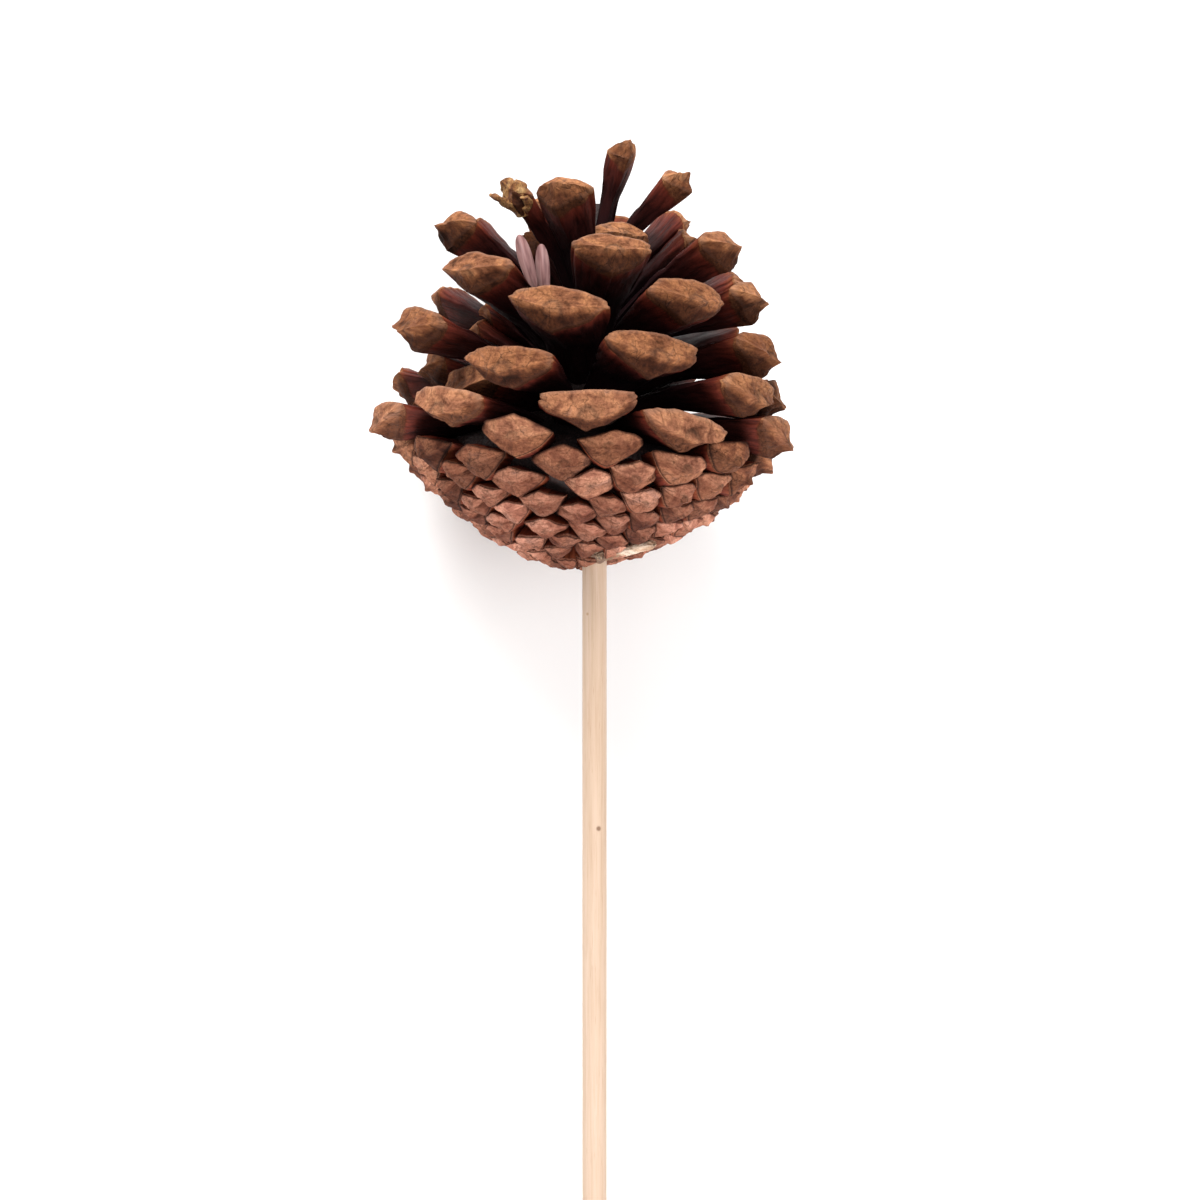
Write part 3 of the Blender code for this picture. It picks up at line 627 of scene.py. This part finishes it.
def shapeScale(scale):
    # moves the template's points to one scale's place, and works out what its material reads
    form, template = forms[scale["isOpen"]], templates[scale["isOpen"]]
    angle, wayIn, along, isFace = (template[key] for key in ("angle", "in", "along", "isFace"))
    side, lift, rise, face = (np.array(scale[key]) for key in ("side", "lift", "rise", "face"))
    size = measureScale(scale, form)
    length, sections = (openSections if scale["isOpen"] else shutSections)(scale, form, size)
    # more rings near the head than near the root
    wayAlong = 1 - (1 - along) ** 1.7
    *centres, halfWidths, aboves, belows, turns, sweeps = readSections(sections, wayAlong)
    seedPlace = Vector((scale["index"] * 7.31, scale["index"] * 3.17, scale["index"] * 5.53))
    across, upward, outline = outlineScale(scale, form, size, angle, wayAlong, seedPlace)
    acrossMm = across * halfWidths * outline * wayIn
    upMm = upward * np.where(upward > 0, aboves, belows) * outline * wayIn
    upMm = upMm - np.where(isFace, size["drop"] * (1 - wayIn), 0)
    spots = {
        "angle": angle, "wayIn": wayIn, "wayAlong": wayAlong, "isFace": isFace, "upward": upward,
        "acrossMm": acrossMm, "upMm": upMm, "toMiddle": np.hypot(acrossMm, upMm + size["drop"]),
    }
    lumps = spots["lumps"] = lumpScale(form, spots, length, seedPlace)
    outMm = liftFace(scale, form, size, spots)
    # wrinkles run down the lower facet from the boss
    onFacet = np.where(isFace, np.where(np.sin(angle) < 0, 1.0, form["wrinklesOver"]), 0)
    wrinkles = noiseRound(angle, form["wrinkleTurns"], 5, seedPlace) * form["wrinkleHeight"]
    outMm += wrinkles * smoothStep(wayIn, 0.15, 0.5) * onFacet
    nearHead = smoothStep(wayAlong, form["headFrom"], 1.0)
    outMm += lumps * np.where(isFace, 1.0, nearHead * form["backLumps"])
    outMm -= scale["width"] * form["sweep"] * across * across * wayIn ** 2 * sweeps

    upAxis = lift[None, :] * (1 - turns[:, None]) + rise[None, :] * turns[:, None]
    upAxis /= np.linalg.norm(upAxis, axis=1)[:, None]
    # a sideways swell on the shank, where the lumps can't move it outwards
    swell = np.sign(upward) * lumps * (1 - nearHead) * form["shankLumps"] * (1 - isFace)
    points = (
        np.stack(centres, 1) + side[None, :] * acrossMm[:, None]
        + upAxis * (upMm + swell)[:, None] + face[None, :] * outMm[:, None]
    )
    return points, readScale(scale, form, size, spots, length)


def placePoints(points, matrix):
    # mm in the cone's or the pick's frame to metres on the table; nothing goes under the table
    placed = np.array(matrix.to_3x3()) @ (points.T * mm) + np.array(matrix.translation)[:, None]
    placed[2] = np.maximum(placed[2], 0.0)
    return placed.T


def keepPiece(mesh, material, node):
    # the mesh becomes a piece that rides on the one body and stands for its node
    piece = bpy.data.objects.new(mesh.name, mesh)
    bpy.context.collection.objects.link(piece)
    mesh.materials.append(material)
    mesh.shade_smooth()
    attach(piece, "root")
    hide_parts(node)
    print(mesh.name, "made:", len(mesh.polygons), "faces")


def joinScales(name, scales):
    # one piece from many shaped copies of the template
    joined = bmesh.new()
    for scale in scales:
        copy = templates[scale["isOpen"]]["mesh"].copy()
        points, readings = shapeScale(scale)
        copy.vertices.foreach_set("co", placePoints(points, coneMatrix).ravel())
        for key, values in readings.items():
            copy.attributes.new(key, "FLOAT_VECTOR", "POINT").data.foreach_set("vector", values.ravel())
        joined.from_mesh(copy)
        bpy.data.meshes.remove(copy)
    keepPiece(takeMesh(name, joined), pineScale, "cone")


allScales = placeScales()
openScales = [scale for scale in allScales if scale["isOpen"]]
joinScales("coneBowl", [scale for scale in allScales if not scale["isOpen"]])
joinScales("coneCrownLower", openScales[:len(openScales) // 2])
joinScales("coneCrownUpper", openScales[len(openScales) // 2:])


# Turned pieces
def turnedShape(points, around):
    # rings of a radius at a height, in mm, closed at both ends
    shape = bmesh.new()
    foot, radius = points[0]
    bmesh.ops.create_circle(shape, cap_ends=True, segments=around, radius=radius)
    bmesh.ops.translate(shape, verts=shape.verts, vec=(0, 0, foot))
    front = list(shape.faces)
    height = foot
    for nextHeight, nextRadius in points[1:]:
        grown = bmesh.ops.extrude_face_region(shape, geom=front)["geom"]
        front = [item for item in grown if isinstance(item, bmesh.types.BMFace)]
        rim = [item for item in grown if isinstance(item, bmesh.types.BMVert)]
        bmesh.ops.translate(shape, verts=rim, vec=(0, 0, nextHeight - height))
        bmesh.ops.scale(shape, verts=rim, vec=(nextRadius / radius, nextRadius / radius, 1))
        height, radius = nextHeight, nextRadius
    inner = [
        face for face in shape.faces
        if len(face.verts) > 4 and abs(face.calc_center_median().z - foot) > 1e-6 and face not in front
    ]
    bmesh.ops.delete(shape, geom=inner, context="FACES_ONLY")
    bmesh.ops.recalc_face_normals(shape, faces=shape.faces)
    return shape


def finishPiece(name, shape, matrix, material, node):
    # lays a piece modelled in mm in its own upright frame on the table; its material reads that frame
    mesh = takeMesh(name, shape)
    points = readPoints(mesh)
    mesh.attributes.new("uprightPlace", "FLOAT_VECTOR", "POINT").data.foreach_set("vector", points.ravel())
    mesh.vertices.foreach_set("co", placePoints(points, matrix).ravel())
    keepPiece(mesh, material, node)


def makeWoodMaterial(name, look):
    # wood and bark: fine straight grain along the length, a few darker pores and spots, dry and matt
    material, tree = newMaterial(name)
    place = addNode(tree, "Attribute", {"attribute_name": "uprightPlace"}).outputs["Vector"]
    along = addNode(tree, "VectorMath", {"operation": "MULTIPLY"}, {
        0: place, 1: look["stretch"],
    }).outputs["Vector"]
    noises, tones = {}, {}
    for key, ramp, size, detail, roughness, distortion in (
        ("grain", "grainTone", look["grainSize"], 5.0, 0.6, 0.25),
        ("broad", "wood", look["broadSize"], 3.0, 0.5, 0.0),
        ("pores", "poreTone", look["poreSize"], 2.0, 0.8, 0.0),
    ):
        noises[key] = addNode(tree, "TexNoise", None, {
            "Vector": along, "Scale": 1 / size,
            "Detail": detail, "Roughness": roughness, "Distortion": distortion,
        }).outputs["Fac"]
        tones[key] = addNode(tree, "ValToRGB", {"stops": look[ramp]}, {
            "Fac": noises[key],
        }).outputs["Color"]
    layers = [
        ("MULTIPLY", look["grainShare"], tones["grain"]), ("MULTIPLY", look["poreShare"], tones["pores"]),
    ]
    # spots are real flecks on the stick and painted shade on the splinter
    for spot, size, tone in look["spots"]:
        away = addNode(tree, "VectorMath", {"operation": "DISTANCE"}, {0: place, 1: spot}).outputs["Value"]
        share = addNode(tree, "MapRange", {"interpolation_type": "SMOOTHSTEP"}, {
            "Value": away, "From Min": size * 0.4, "From Max": size, "To Min": 0.9, "To Max": 0.0,
        }).outputs["Result"]
        layers.append(("MIX", share, toLinear(tone)))
    rough = addNode(tree, "MapRange", None, {
        "Value": noises["grain"], "From Min": 0.3, "From Max": 0.7,
        "To Min": look["roughness"] - 0.06, "To Max": look["roughness"] + 0.08,
    }).outputs["Result"]
    relief = addNode(tree, "Math", {"operation": "ADD"}, {0: noises["grain"], 1: noises["pores"]})
    finishSurface(tree, look, {
        "Base Color": layTones(tree, tones["broad"], layers), "Roughness": rough,
    }, relief.outputs["Value"])
    return material


def makeFilmMaterial(name, look):
    # glue and papery wings: one noise gives the tones, the gloss and the relief
    material, tree = newMaterial(name)
    place = addNode(tree, "Attribute", {"attribute_name": "uprightPlace"}).outputs["Vector"]
    stretched = addNode(tree, "VectorMath", {"operation": "MULTIPLY"}, {0: place, 1: look["stretch"]})
    film = addNode(tree, "TexNoise", None, {
        "Vector": stretched.outputs["Vector"], "Scale": 1 / look["size"],
        "Detail": look["detail"], "Roughness": look["noiseRoughness"], "Distortion": look["distortion"],
    }).outputs["Fac"]
    tone = addNode(tree, "ValToRGB", {"stops": look["tones"]}, {"Fac": film}).outputs["Color"]
    rough = addNode(tree, "MapRange", None, {
        "Value": film, "From Min": look["glossFrom"], "From Max": look["glossTo"],
        "To Min": look["glossy"], "To Max": look["matt"],
    }).outputs["Result"]
    finishSurface(tree, look, {"Base Color": tone, "Roughness": rough, "IOR": look["refraction"]}, film)
    return material


# Core of the cone: a shallow bowl below and the stalk of the crown above, seen only between the scales
core = {
    "profile": [
        (-0.2, 3.0), (2.0, 8.5), (5.0, 14.0), (9.0, 19.5), (13.0, 23.0), (16.5, 23.0), (19.0, 13.0),
        (24.0, 8.0), (33.0, 5.4), (44.0, 3.8), (54.0, 2.4), (58.0, 1.0),
    ],
    "around": 72, "rings": 48, "lumpSize": 2.6, "lumpHeight": 0.5,
}
coreLook = {
    # bark deep between the scales: almost black, red brown where light reaches it
    "stretch": (1.0, 1.0, 0.45), "grainSize": 1.2, "broadSize": 5.0, "poreSize": 0.6,
    "wood": [(0.35, "#1C0D0E"), (0.65, "#341A15")],
    "grainTone": [(0.3, "#8C8080"), (0.6, "#FFFFFF")], "grainShare": 0.8,
    "poreTone": [(0.35, "#6A6060"), (0.55, "#FFFFFF")], "poreShare": 0.6, "spots": [],
    "roughness": 0.7, "bumpStrength": 0.8, "bumpHeight": 0.4,
}


def lumpOutward(vert, form):
    # pushes a point of a turned piece out or in by noise, and gives its way outward
    outward = Vector((vert.co.x, vert.co.y, 0)).normalized()
    vert.co += outward * noise.noise(vert.co / form["lumpSize"]) * form["lumpHeight"]
    return outward


def makeCore():
    heights = np.linspace(core["profile"][0][0], core["profile"][-1][0], core["rings"])
    radii = softened(np.array([readCurve(height, core["profile"]) for height in heights]), 2)
    shape = turnedShape(list(zip(heights, radii)), core["around"])
    for vert in shape.verts:
        lumpOutward(vert, core)
    bark = makeWoodMaterial("darkConeCoreBark", coreLook)
    finishPiece("coneCore", shape, coneMatrix, bark, "cone")


makeCore()

# Stick: a plain sanded dowel, bluntly pointed at its far end
stick = {
    "radius": 2.0, "length": 250.0, "inCone": 25.0, "around": 64,
    "step": 4.0, "wander": 0.015, "wanderSize": 17,
    # height above the foot and radius, up to the full width
    "point": [(0.0, 0.7), (0.25, 1.0), (2.6, 1.88), (3.4, 2.0)], "plainFrom": 7.0, "topRound": 0.2,
}
dowelLook = {
    # pale sanded birch: straight fine grain, drawn out thirty times along the dowel, three brown flecks
    "stretch": (1.0, 1.0, 0.03), "grainSize": 0.34, "broadSize": 1.8, "poreSize": 0.16,
    "wood": [(0.30, "#BEA48C"), (0.50, "#C5AB95"), (0.70, "#CCB4A0")],
    "grainTone": [(0.30, "#EADFD2"), (0.55, "#FFFFFF")], "grainShare": 0.6,
    "poreTone": [(0.28, "#D4BCA4"), (0.38, "#FFFFFF")], "poreShare": 0.5,
    "spots": [
        ((0.7, -1.9, -44.6), 0.55, "#7A5A44"), ((-1.2, -1.7, -9.5), 0.35, "#B08E70"),
        ((1.5, 1.2, -120.0), 0.6, "#94735A"),
    ],
    "roughness": 0.62, "bumpStrength": 0.35, "bumpHeight": 0.12,
}


def makeStick():
    foot, top, radius = stick["inCone"] - stick["length"], stick["inCone"], stick["radius"]
    points = [(foot + height, pointRadius) for height, pointRadius in stick["point"]]
    for height in np.arange(foot + stick["plainFrom"], top - stick["step"], stick["step"]):
        swell = stick["wander"] * noise.noise(Vector((0, 0, float(height) / stick["wanderSize"])))
        points.append((float(height), radius * (1 + swell)))
    points += [(top - stick["topRound"], radius), (top, radius - stick["topRound"])]
    wood = makeWoodMaterial("sandedBirchDowel", dowelLook)
    finishPiece("stickDowel", turnedShape(points, stick["around"]), layMatrix, wood, "stick")


makeStick()

# Glue round the stick where it enters the cone, dusty with crumbs of bark
glue = {
    # height and radius from the foot of the bead up
    "profile": [
        (-1.0, 2.12), (-0.9, 2.4), (-0.6, 2.72), (-0.4, 3.069), (0.0, 3.267), (0.3, 3.3), (0.6, 3.069),
    ],
    "around": 72, "lumpSize": 1.3, "lumpHeight": 0.5, "sagTurns": 1.7, "sagPlace": (3, 1, 4),
}
glueLook = {
    # hot melt glue: milky and soft in gloss, brown and matt where bark dust has stuck to it
    "stretch": (1.0, 1.0, 1.0), "size": 0.9, "detail": 6.0, "noiseRoughness": 0.7, "distortion": 0.0,
    "tones": [(0.38, "#3A2419"), (0.50, "#6C4E3A"), (0.62, "#93765C"), (0.78, "#B49E84")],
    "glossFrom": 0.35, "glossTo": 0.6, "glossy": 0.35, "matt": 0.85,
    "refraction": 1.48, "bumpStrength": 0.7, "bumpHeight": 0.2,
}


def makeGlue():
    shape = turnedShape(glue["profile"], glue["around"])
    for vert in shape.verts:
        outward = lumpOutward(vert, glue)
        vert.co.z += noise.noise(outward * glue["sagTurns"] + Vector(glue["sagPlace"])) * glue["lumpHeight"]
    material = makeFilmMaterial("dustyHotMeltGlue", glueLook)
    finishPiece("glueBead", shape, layMatrix, material, "glue")


makeGlue()

# Crumbs of bark caught in the glue and along the splinter
crumbs = {
    # place out from the stick's axis, height, turn, how many
    "groups": [
        ((2.6, 3.9), (-0.4, 1.1), (-180, 180), 70), ((3.0, 3.9), (-0.3, 1.2), (-115, -40), 46),
        ((4.0, 10.0), (1.0, 2.6), (-44, -24), 60),
    ],
    "size": (0.22, 0.60), "seed": 4, "flatness": (1.3, 0.8, 0.55), "lumpShare": 0.5, "followShare": 0.6,
}
crumbLook = {
    # broken bark: dull brown and grey, with a few paler bits of wood
    "stretch": (1.0, 1.0, 1.0), "grainSize": 0.3, "broadSize": 0.8, "poreSize": 0.2,
    "wood": [(0.36, "#3A261C"), (0.48, "#6A4C38"), (0.58, "#8A705A"), (0.70, "#AE9A80")],
    "grainTone": [(0.3, "#8C8078"), (0.6, "#FFFFFF")], "grainShare": 0.7,
    "poreTone": [(0.35, "#8A7C72"), (0.55, "#FFFFFF")], "poreShare": 0.5, "spots": [],
    "roughness": 0.85, "bumpStrength": 0.6, "bumpHeight": 0.15,
}


def addCrumb(shape, draw, number, group):
    outs, heights, turns = group[:3]
    way = draw.random()
    turn = math.radians(draw.uniform(*turns))
    out = outs[0] + (outs[1] - outs[0]) * way
    rise = way * crumbs["followShare"] + draw.random() * (1 - crumbs["followShare"])
    height = heights[0] + (heights[1] - heights[0]) * rise
    place = Vector((math.cos(turn) * out, math.sin(turn) * out, height))
    size = draw.uniform(*crumbs["size"])
    grown = bmesh.ops.create_icosphere(shape, subdivisions=2, radius=size)["verts"]
    tumble = Matrix.Rotation(draw.uniform(0, 6.3), 3, Vector((draw.random(), draw.random(), 1)))
    for vert in grown:
        flat = vert.co * Vector(crumbs["flatness"])
        lump = 1 + crumbs["lumpShare"] * noise.noise(vert.co * 3 / size + Vector((number * 3.1, 0, 0)))
        vert.co = tumble @ flat * lump + place


def makeCrumbs():
    draw = random.Random(crumbs["seed"])
    shape = bmesh.new()
    for group in crumbs["groups"]:
        for number in range(group[-1]):
            addCrumb(shape, draw, number, group)
    bark = makeWoodMaterial("brokenBarkCrumbs", crumbLook)
    finishPiece("barkCrumbs", shape, layMatrix, bark, "glue")


makeCrumbs()

# Splinter of the stick's wood beside the hole
splinter = {
    # out from the axis, height, half width, half thickness
    "path": [(2.8, 0.1, 1.1, 0.7), (6.6, 0.9, 1.35, 0.8), (9.6, 1.6, 1.2, 0.85), (11.8, 1.8, 0.8, 0.65)],
    "turn": -36, "around": 36, "rings": 48, "lumpSize": 0.8, "lumpHeight": 0.34,
    "rag": 1.05, "ragTurns": 2.5, "ragFrom": 0.7, "taper": 0.45, "taperFrom": 0.88,
    "fibreAlong": 0.12, "fibreAcross": 2.2, "fibrePlace": (5, 2, 8),
}
splinterLook = {
    # torn wood: cream inside; the brown spots at its root by the stick and along its top are painted shade
    # under the scales
    "stretch": (0.5, 0.5, 1.6), "grainSize": 0.45, "broadSize": 2.2, "poreSize": 0.2,
    "wood": [(0.36, "#8A6248"), (0.48, "#BC987C"), (0.60, "#D6BEA8"), (0.75, "#E0D0C0")],
    "grainTone": [(0.32, "#A08468"), (0.55, "#FFFFFF")], "grainShare": 0.8,
    "poreTone": [(0.30, "#7C5C42"), (0.44, "#FFFFFF")], "poreShare": 0.7,
    # spots: painted shade at the splinter's root and along its top, under the scales
    "spots": [
        ((2.6, -1.9, 0.4), 3.2, "#6E5038"), ((4.6, -3.2, 1.6), 1.5, "#7C5A3A"),
        ((6.6, -4.8, 2.3), 1.3, "#86623E"), ((8.6, -6.0, 2.6), 1.1, "#7A5A3E"),
    ],
    "roughness": 0.75, "bumpStrength": 0.7, "bumpHeight": 0.2,
}


def makeSplinter():
    shape = ringedTube(splinter["around"], splinter["rings"])
    turn = Matrix.Rotation(math.radians(splinter["turn"]), 3, "Z")
    ways = np.linspace(0, 1, len(splinter["path"]))
    columns = list(zip(*splinter["path"]))
    for vert in shape.verts:
        way = vert.co.z + 0.5
        out, height, halfWidth, halfThick = (float(np.interp(way, ways, column)) for column in columns)
        ragPlace = Vector((vert.co.x * splinter["ragTurns"], vert.co.y * splinter["ragTurns"], 7.0))
        rag = splinter["rag"] * noise.noise(ragPlace) * smoothStep(way, splinter["ragFrom"], 1.0)
        taper = 1 - splinter["taper"] * float(smoothStep(way, splinter["taperFrom"], 1.0))
        local = Vector((out + rag, vert.co.x * halfWidth * taper, height + vert.co.y * halfThick * taper))
        fibrePlace = Vector((out * splinter["fibreAlong"], *(vert.co.xy * splinter["fibreAcross"])))
        fibre = noise.noise(fibrePlace + Vector(splinter["fibrePlace"]))
        local.z += (fibre + noise.noise(local / splinter["lumpSize"]) * 0.5) * splinter["lumpHeight"]
        vert.co = turn @ local
    bmesh.ops.recalc_face_normals(shape, faces=shape.faces)
    wood = makeWoodMaterial("tornBirchSplinter", splinterLook)
    finishPiece("splinterSliver", shape, layMatrix, wood, "splinter")


makeSplinter()

# Seed wings caught between the upper scales
wings = {
    "length": 10.0, "width": 2.9, "thickness": 0.6, "footShare": 0.6, "around": 48, "rings": 10,
    "cup": 0.35, "waviness": 0.12,
    # place, lean left, turn, node
    "places": {
        "seedWingA": ((-10.8, -11.4, 47.0), 16, 10, "seed_wing_a"),
        "seedWingB": ((-8.4, -8.8, 45.5), 4, -20, "seed_wing_b"),
    },
}
wingLook = {
    # papery seed wing: thin mauve brown skin with veins running up it, faintly glossy
    "stretch": (1.0, 1.0, 0.1), "size": 0.5, "detail": 4.0, "noiseRoughness": 0.5, "distortion": 0.4,
    "tones": [(0.32, "#6A4644"), (0.5, "#916865"), (0.7, "#A8827D")],
    "glossFrom": 0.35, "glossTo": 0.6, "glossy": 0.55, "matt": 0.55,
    "refraction": 1.5, "bumpStrength": 0.5, "bumpHeight": 0.1,
}


def makeWing(name, place, lean, turn, node):
    shape = bmesh.new()
    bmesh.ops.create_circle(shape, segments=wings["around"], cap_ends=True, radius=0.5)
    for ring in range(wings["rings"] - 1):
        middle = widestFace(shape, -1)
        bmesh.ops.inset_region(shape, faces=[middle], thickness=0.5 / wings["rings"], use_even_offset=True)
    bmesh.ops.poke(shape, faces=[widestFace(shape, -1)])
    thickness = wings["thickness"]
    for vert in shape.verts:
        way = vert.co.y + 0.5
        inward = 1 - min(1.0, 2 * math.hypot(vert.co.x, vert.co.y))
        sideways = vert.co.x * wings["width"] * (wings["footShare"] + (1 - wings["footShare"]) * way)
        hollow = wings["cup"] * (0.5 - abs(vert.co.x)) * inward
        hollow += wings["waviness"] * noise.noise(Vector((vert.co.x * 6, 0, vert.co.y * 3)))
        vert.co = Vector((sideways, thickness * 0.3 + hollow * thickness, vert.co.y * wings["length"]))
    grown = bmesh.ops.extrude_face_region(shape, geom=list(shape.faces))["geom"]
    lifted = [item for item in grown if isinstance(item, bmesh.types.BMVert)]
    bmesh.ops.translate(shape, verts=lifted, vec=(0, thickness * 0.5, 0))
    bmesh.ops.recalc_face_normals(shape, faces=shape.faces)
    stand = (
        layMatrix @ Matrix.Translation(Vector(place) * mm)
        @ Matrix.Rotation(math.radians(-lean), 4, "Y") @ Matrix.Rotation(math.radians(turn), 4, "Z")
    )
    finishPiece(name, shape, stand, wingPaper, node)


wingPaper = makeFilmMaterial("paperySeedWing", wingLook)
for wingName, wingPlace in wings["places"].items():
    makeWing(wingName, *wingPlace)

# Torn tip of the broken scale: ragged ochre lobes
tornTip = {
    # lean to the side, lean up, length past the tip, half width
    "lobes": [
        (-0.42, 0.22, 2.3, 2.1), (-0.10, 0.34, 1.5, 1.9), (0.30, 0.22, -0.4, 1.2), (-0.42, -0.30, 2.1, 1.1),
    ],
    "back": 4.0, "spread": 1.6, "around": 36, "rings": 36, "flatness": 0.62, "curl": 0.5, "curlTurns": 2.2,
    "lumpSize": 1.05, "lumpHeight": 0.72, "leastSwell": 0.75, "swell": 0.45, "roundedFrom": 0.86,
}
tornLook = {
    # bare torn scale wood: ochre fibres in brown patches
    "stretch": (1.0, 1.0, 0.5), "grainSize": 0.5, "broadSize": 1.8, "poreSize": 0.25,
    "wood": [(0.36, "#6E4026"), (0.47, "#9A6838"), (0.58, "#AE8450"), (0.75, "#C0A070")],
    "grainTone": [(0.30, "#8A6248"), (0.55, "#FFFFFF")], "grainShare": 0.85,
    "poreTone": [(0.30, "#6A4630"), (0.45, "#FFFFFF")], "poreShare": 0.7, "spots": [],
    "roughness": 0.8, "bumpStrength": 0.8, "bumpHeight": 0.3,
}


def makeLobe(scale, number, across, upward, length, half):
    way = (scale["shank"] + scale["side"] * across + scale["lift"] * upward).normalized()
    start = scale["tip"] - scale["shank"] * tornTip["back"] + scale["side"] * across * tornTip["spread"]
    lobe = ringedTube(tornTip["around"], tornTip["rings"])
    for vert in lobe.verts:
        share = vert.co.z + 0.5
        swell = tornTip["leastSwell"] + tornTip["swell"] * math.sin(math.pi * min(1.0, share * 1.1)) ** 2
        pastRound = max(0.0, (share - tornTip["roundedFrom"]) / (1 - tornTip["roundedFrom"]))
        swell *= half * math.sqrt(max(0.02, 1 - pastRound ** 2))
        spot = start + way * (tornTip["back"] + length) * share
        spot += scale["lift"] * tornTip["curl"] * math.sin(share * tornTip["curlTurns"] + number) * share
        spot += scale["side"] * vert.co.x * swell + scale["lift"] * vert.co.y * tornTip["flatness"] * swell
        lump = noise.noise_vector(spot / tornTip["lumpSize"] + Vector((number * 9, 0, 0)))
        vert.co = spot + lump * tornTip["lumpHeight"] * share
    bmesh.ops.recalc_face_normals(lobe, faces=lobe.faces)
    return takeMesh("lobe", lobe)


def makeTornTip():
    scale = next(scale for scale in allScales if scale["index"] == spiral["frayed"])
    shape = bmesh.new()
    for number, lobe in enumerate(tornTip["lobes"]):
        mesh = makeLobe(scale, number, *lobe)
        shape.from_mesh(mesh)
        bpy.data.meshes.remove(mesh)
    wood = makeWoodMaterial("tornScaleFibre", tornLook)
    finishPiece("tornScaleTip", shape, coneMatrix, wood, "cone")


makeTornTip()

# Table, light and camera
table = {"size": 4.0, "tone": [(0.4, "#F8F7F6"), (0.6, "#FBFAFA")], "patch": 0.09, "roughness": 0.9}


def makeCardMaterial(name, look):
    # matt white card, almost even in tone
    material, tree = newMaterial(name)
    coords = addNode(tree, "TexCoord").outputs["Object"]
    patch = addNode(tree, "TexNoise", None, {
        "Vector": coords, "Scale": 1 / look["patch"], "Detail": 2.0,
    }).outputs["Fac"]
    tone = addNode(tree, "ValToRGB", {"stops": look["tone"]}, {"Fac": patch}).outputs["Color"]
    feedNode(tree, tree.nodes["Principled BSDF"], {"Base Color": tone, "Roughness": look["roughness"]})
    return material


def makeTable():
    shape = bmesh.new()
    bmesh.ops.create_grid(shape, x_segments=4, y_segments=4, size=table["size"] / 2)
    mesh = takeMesh("paleTable", shape)
    piece = bpy.data.objects.new("paleTable", mesh)
    bpy.context.collection.objects.link(piece)
    mesh.materials.append(makeCardMaterial("mattWhiteCard", table))


makeTable()

studio = {
    # soft boxes: place, size and power; the key shines down the cone from its tip
    "lights": {
        "key": ((-0.30, 1.05, 0.75), 0.8, 23.0), "fill": ((0.8, 0.1, 0.8), 0.8, 4.5),
        "top": ((-0.3, -0.1, 1.3), 0.9, 2.5), "low": ((0.0, -1.0, 0.42), 0.7, 15.0),
    },
    "aim": (0.0, 0.09, 0.03), "skyTone": "#FFFFFF", "sky": 0.42,
}


def makeLights():
    for name, (place, size, power) in studio["lights"].items():
        lamp = bpy.data.lights.new(name, "AREA")
        lamp.shape = "SQUARE"
        lamp.size = size
        lamp.energy = power
        holder = bpy.data.objects.new(name, lamp)
        holder.location = place
        holder.rotation_euler = (Vector(studio["aim"]) - Vector(place)).to_track_quat("-Z", "Y").to_euler()
        bpy.context.collection.objects.link(holder)
    world = bpy.data.worlds.new("softRoom")
    world.use_nodes = True
    sky = world.node_tree.nodes["Background"]
    sky.inputs["Color"].default_value = toLinear(studio["skyTone"])
    sky.inputs["Strength"].default_value = studio["sky"]
    bpy.context.scene.world = world


makeLights()

view = {
    # photo: 6.1 pixels to the mm over 1200 pixels; the stick's axis and the cone's foot stand at this pixel
    "pixelsPerMm": 6.1, "imageSize": 1200, "originAt": (594.5, 556.0), "distance": 750.0,
    "sensor": 36.0, "farthest": 20,
}


def makeCamera():
    camera = bpy.data.cameras.new("photoCamera")
    holder = bpy.data.objects.new("photoCamera", camera)
    bpy.context.collection.objects.link(holder)
    camera.sensor_width = view["sensor"]
    camera.lens = view["sensor"] * view["distance"] / (view["imageSize"] / view["pixelsPerMm"])
    camera.clip_end = view["farthest"]
    # straight in front of the upright pick, whose front is -Y, and laid down with it
    across, down = ((view["imageSize"] / 2 - pixel) / view["pixelsPerMm"] for pixel in view["originAt"])
    stand = Matrix.Translation(Vector((across, -view["distance"], -down)) * mm)
    holder.matrix_world = layMatrix @ stand @ Matrix.Rotation(math.radians(90), 4, "X")
    bpy.context.scene.camera = holder


makeCamera()
bpy.context.scene.view_settings.view_transform = "Standard"
print("table, lights and camera placed")
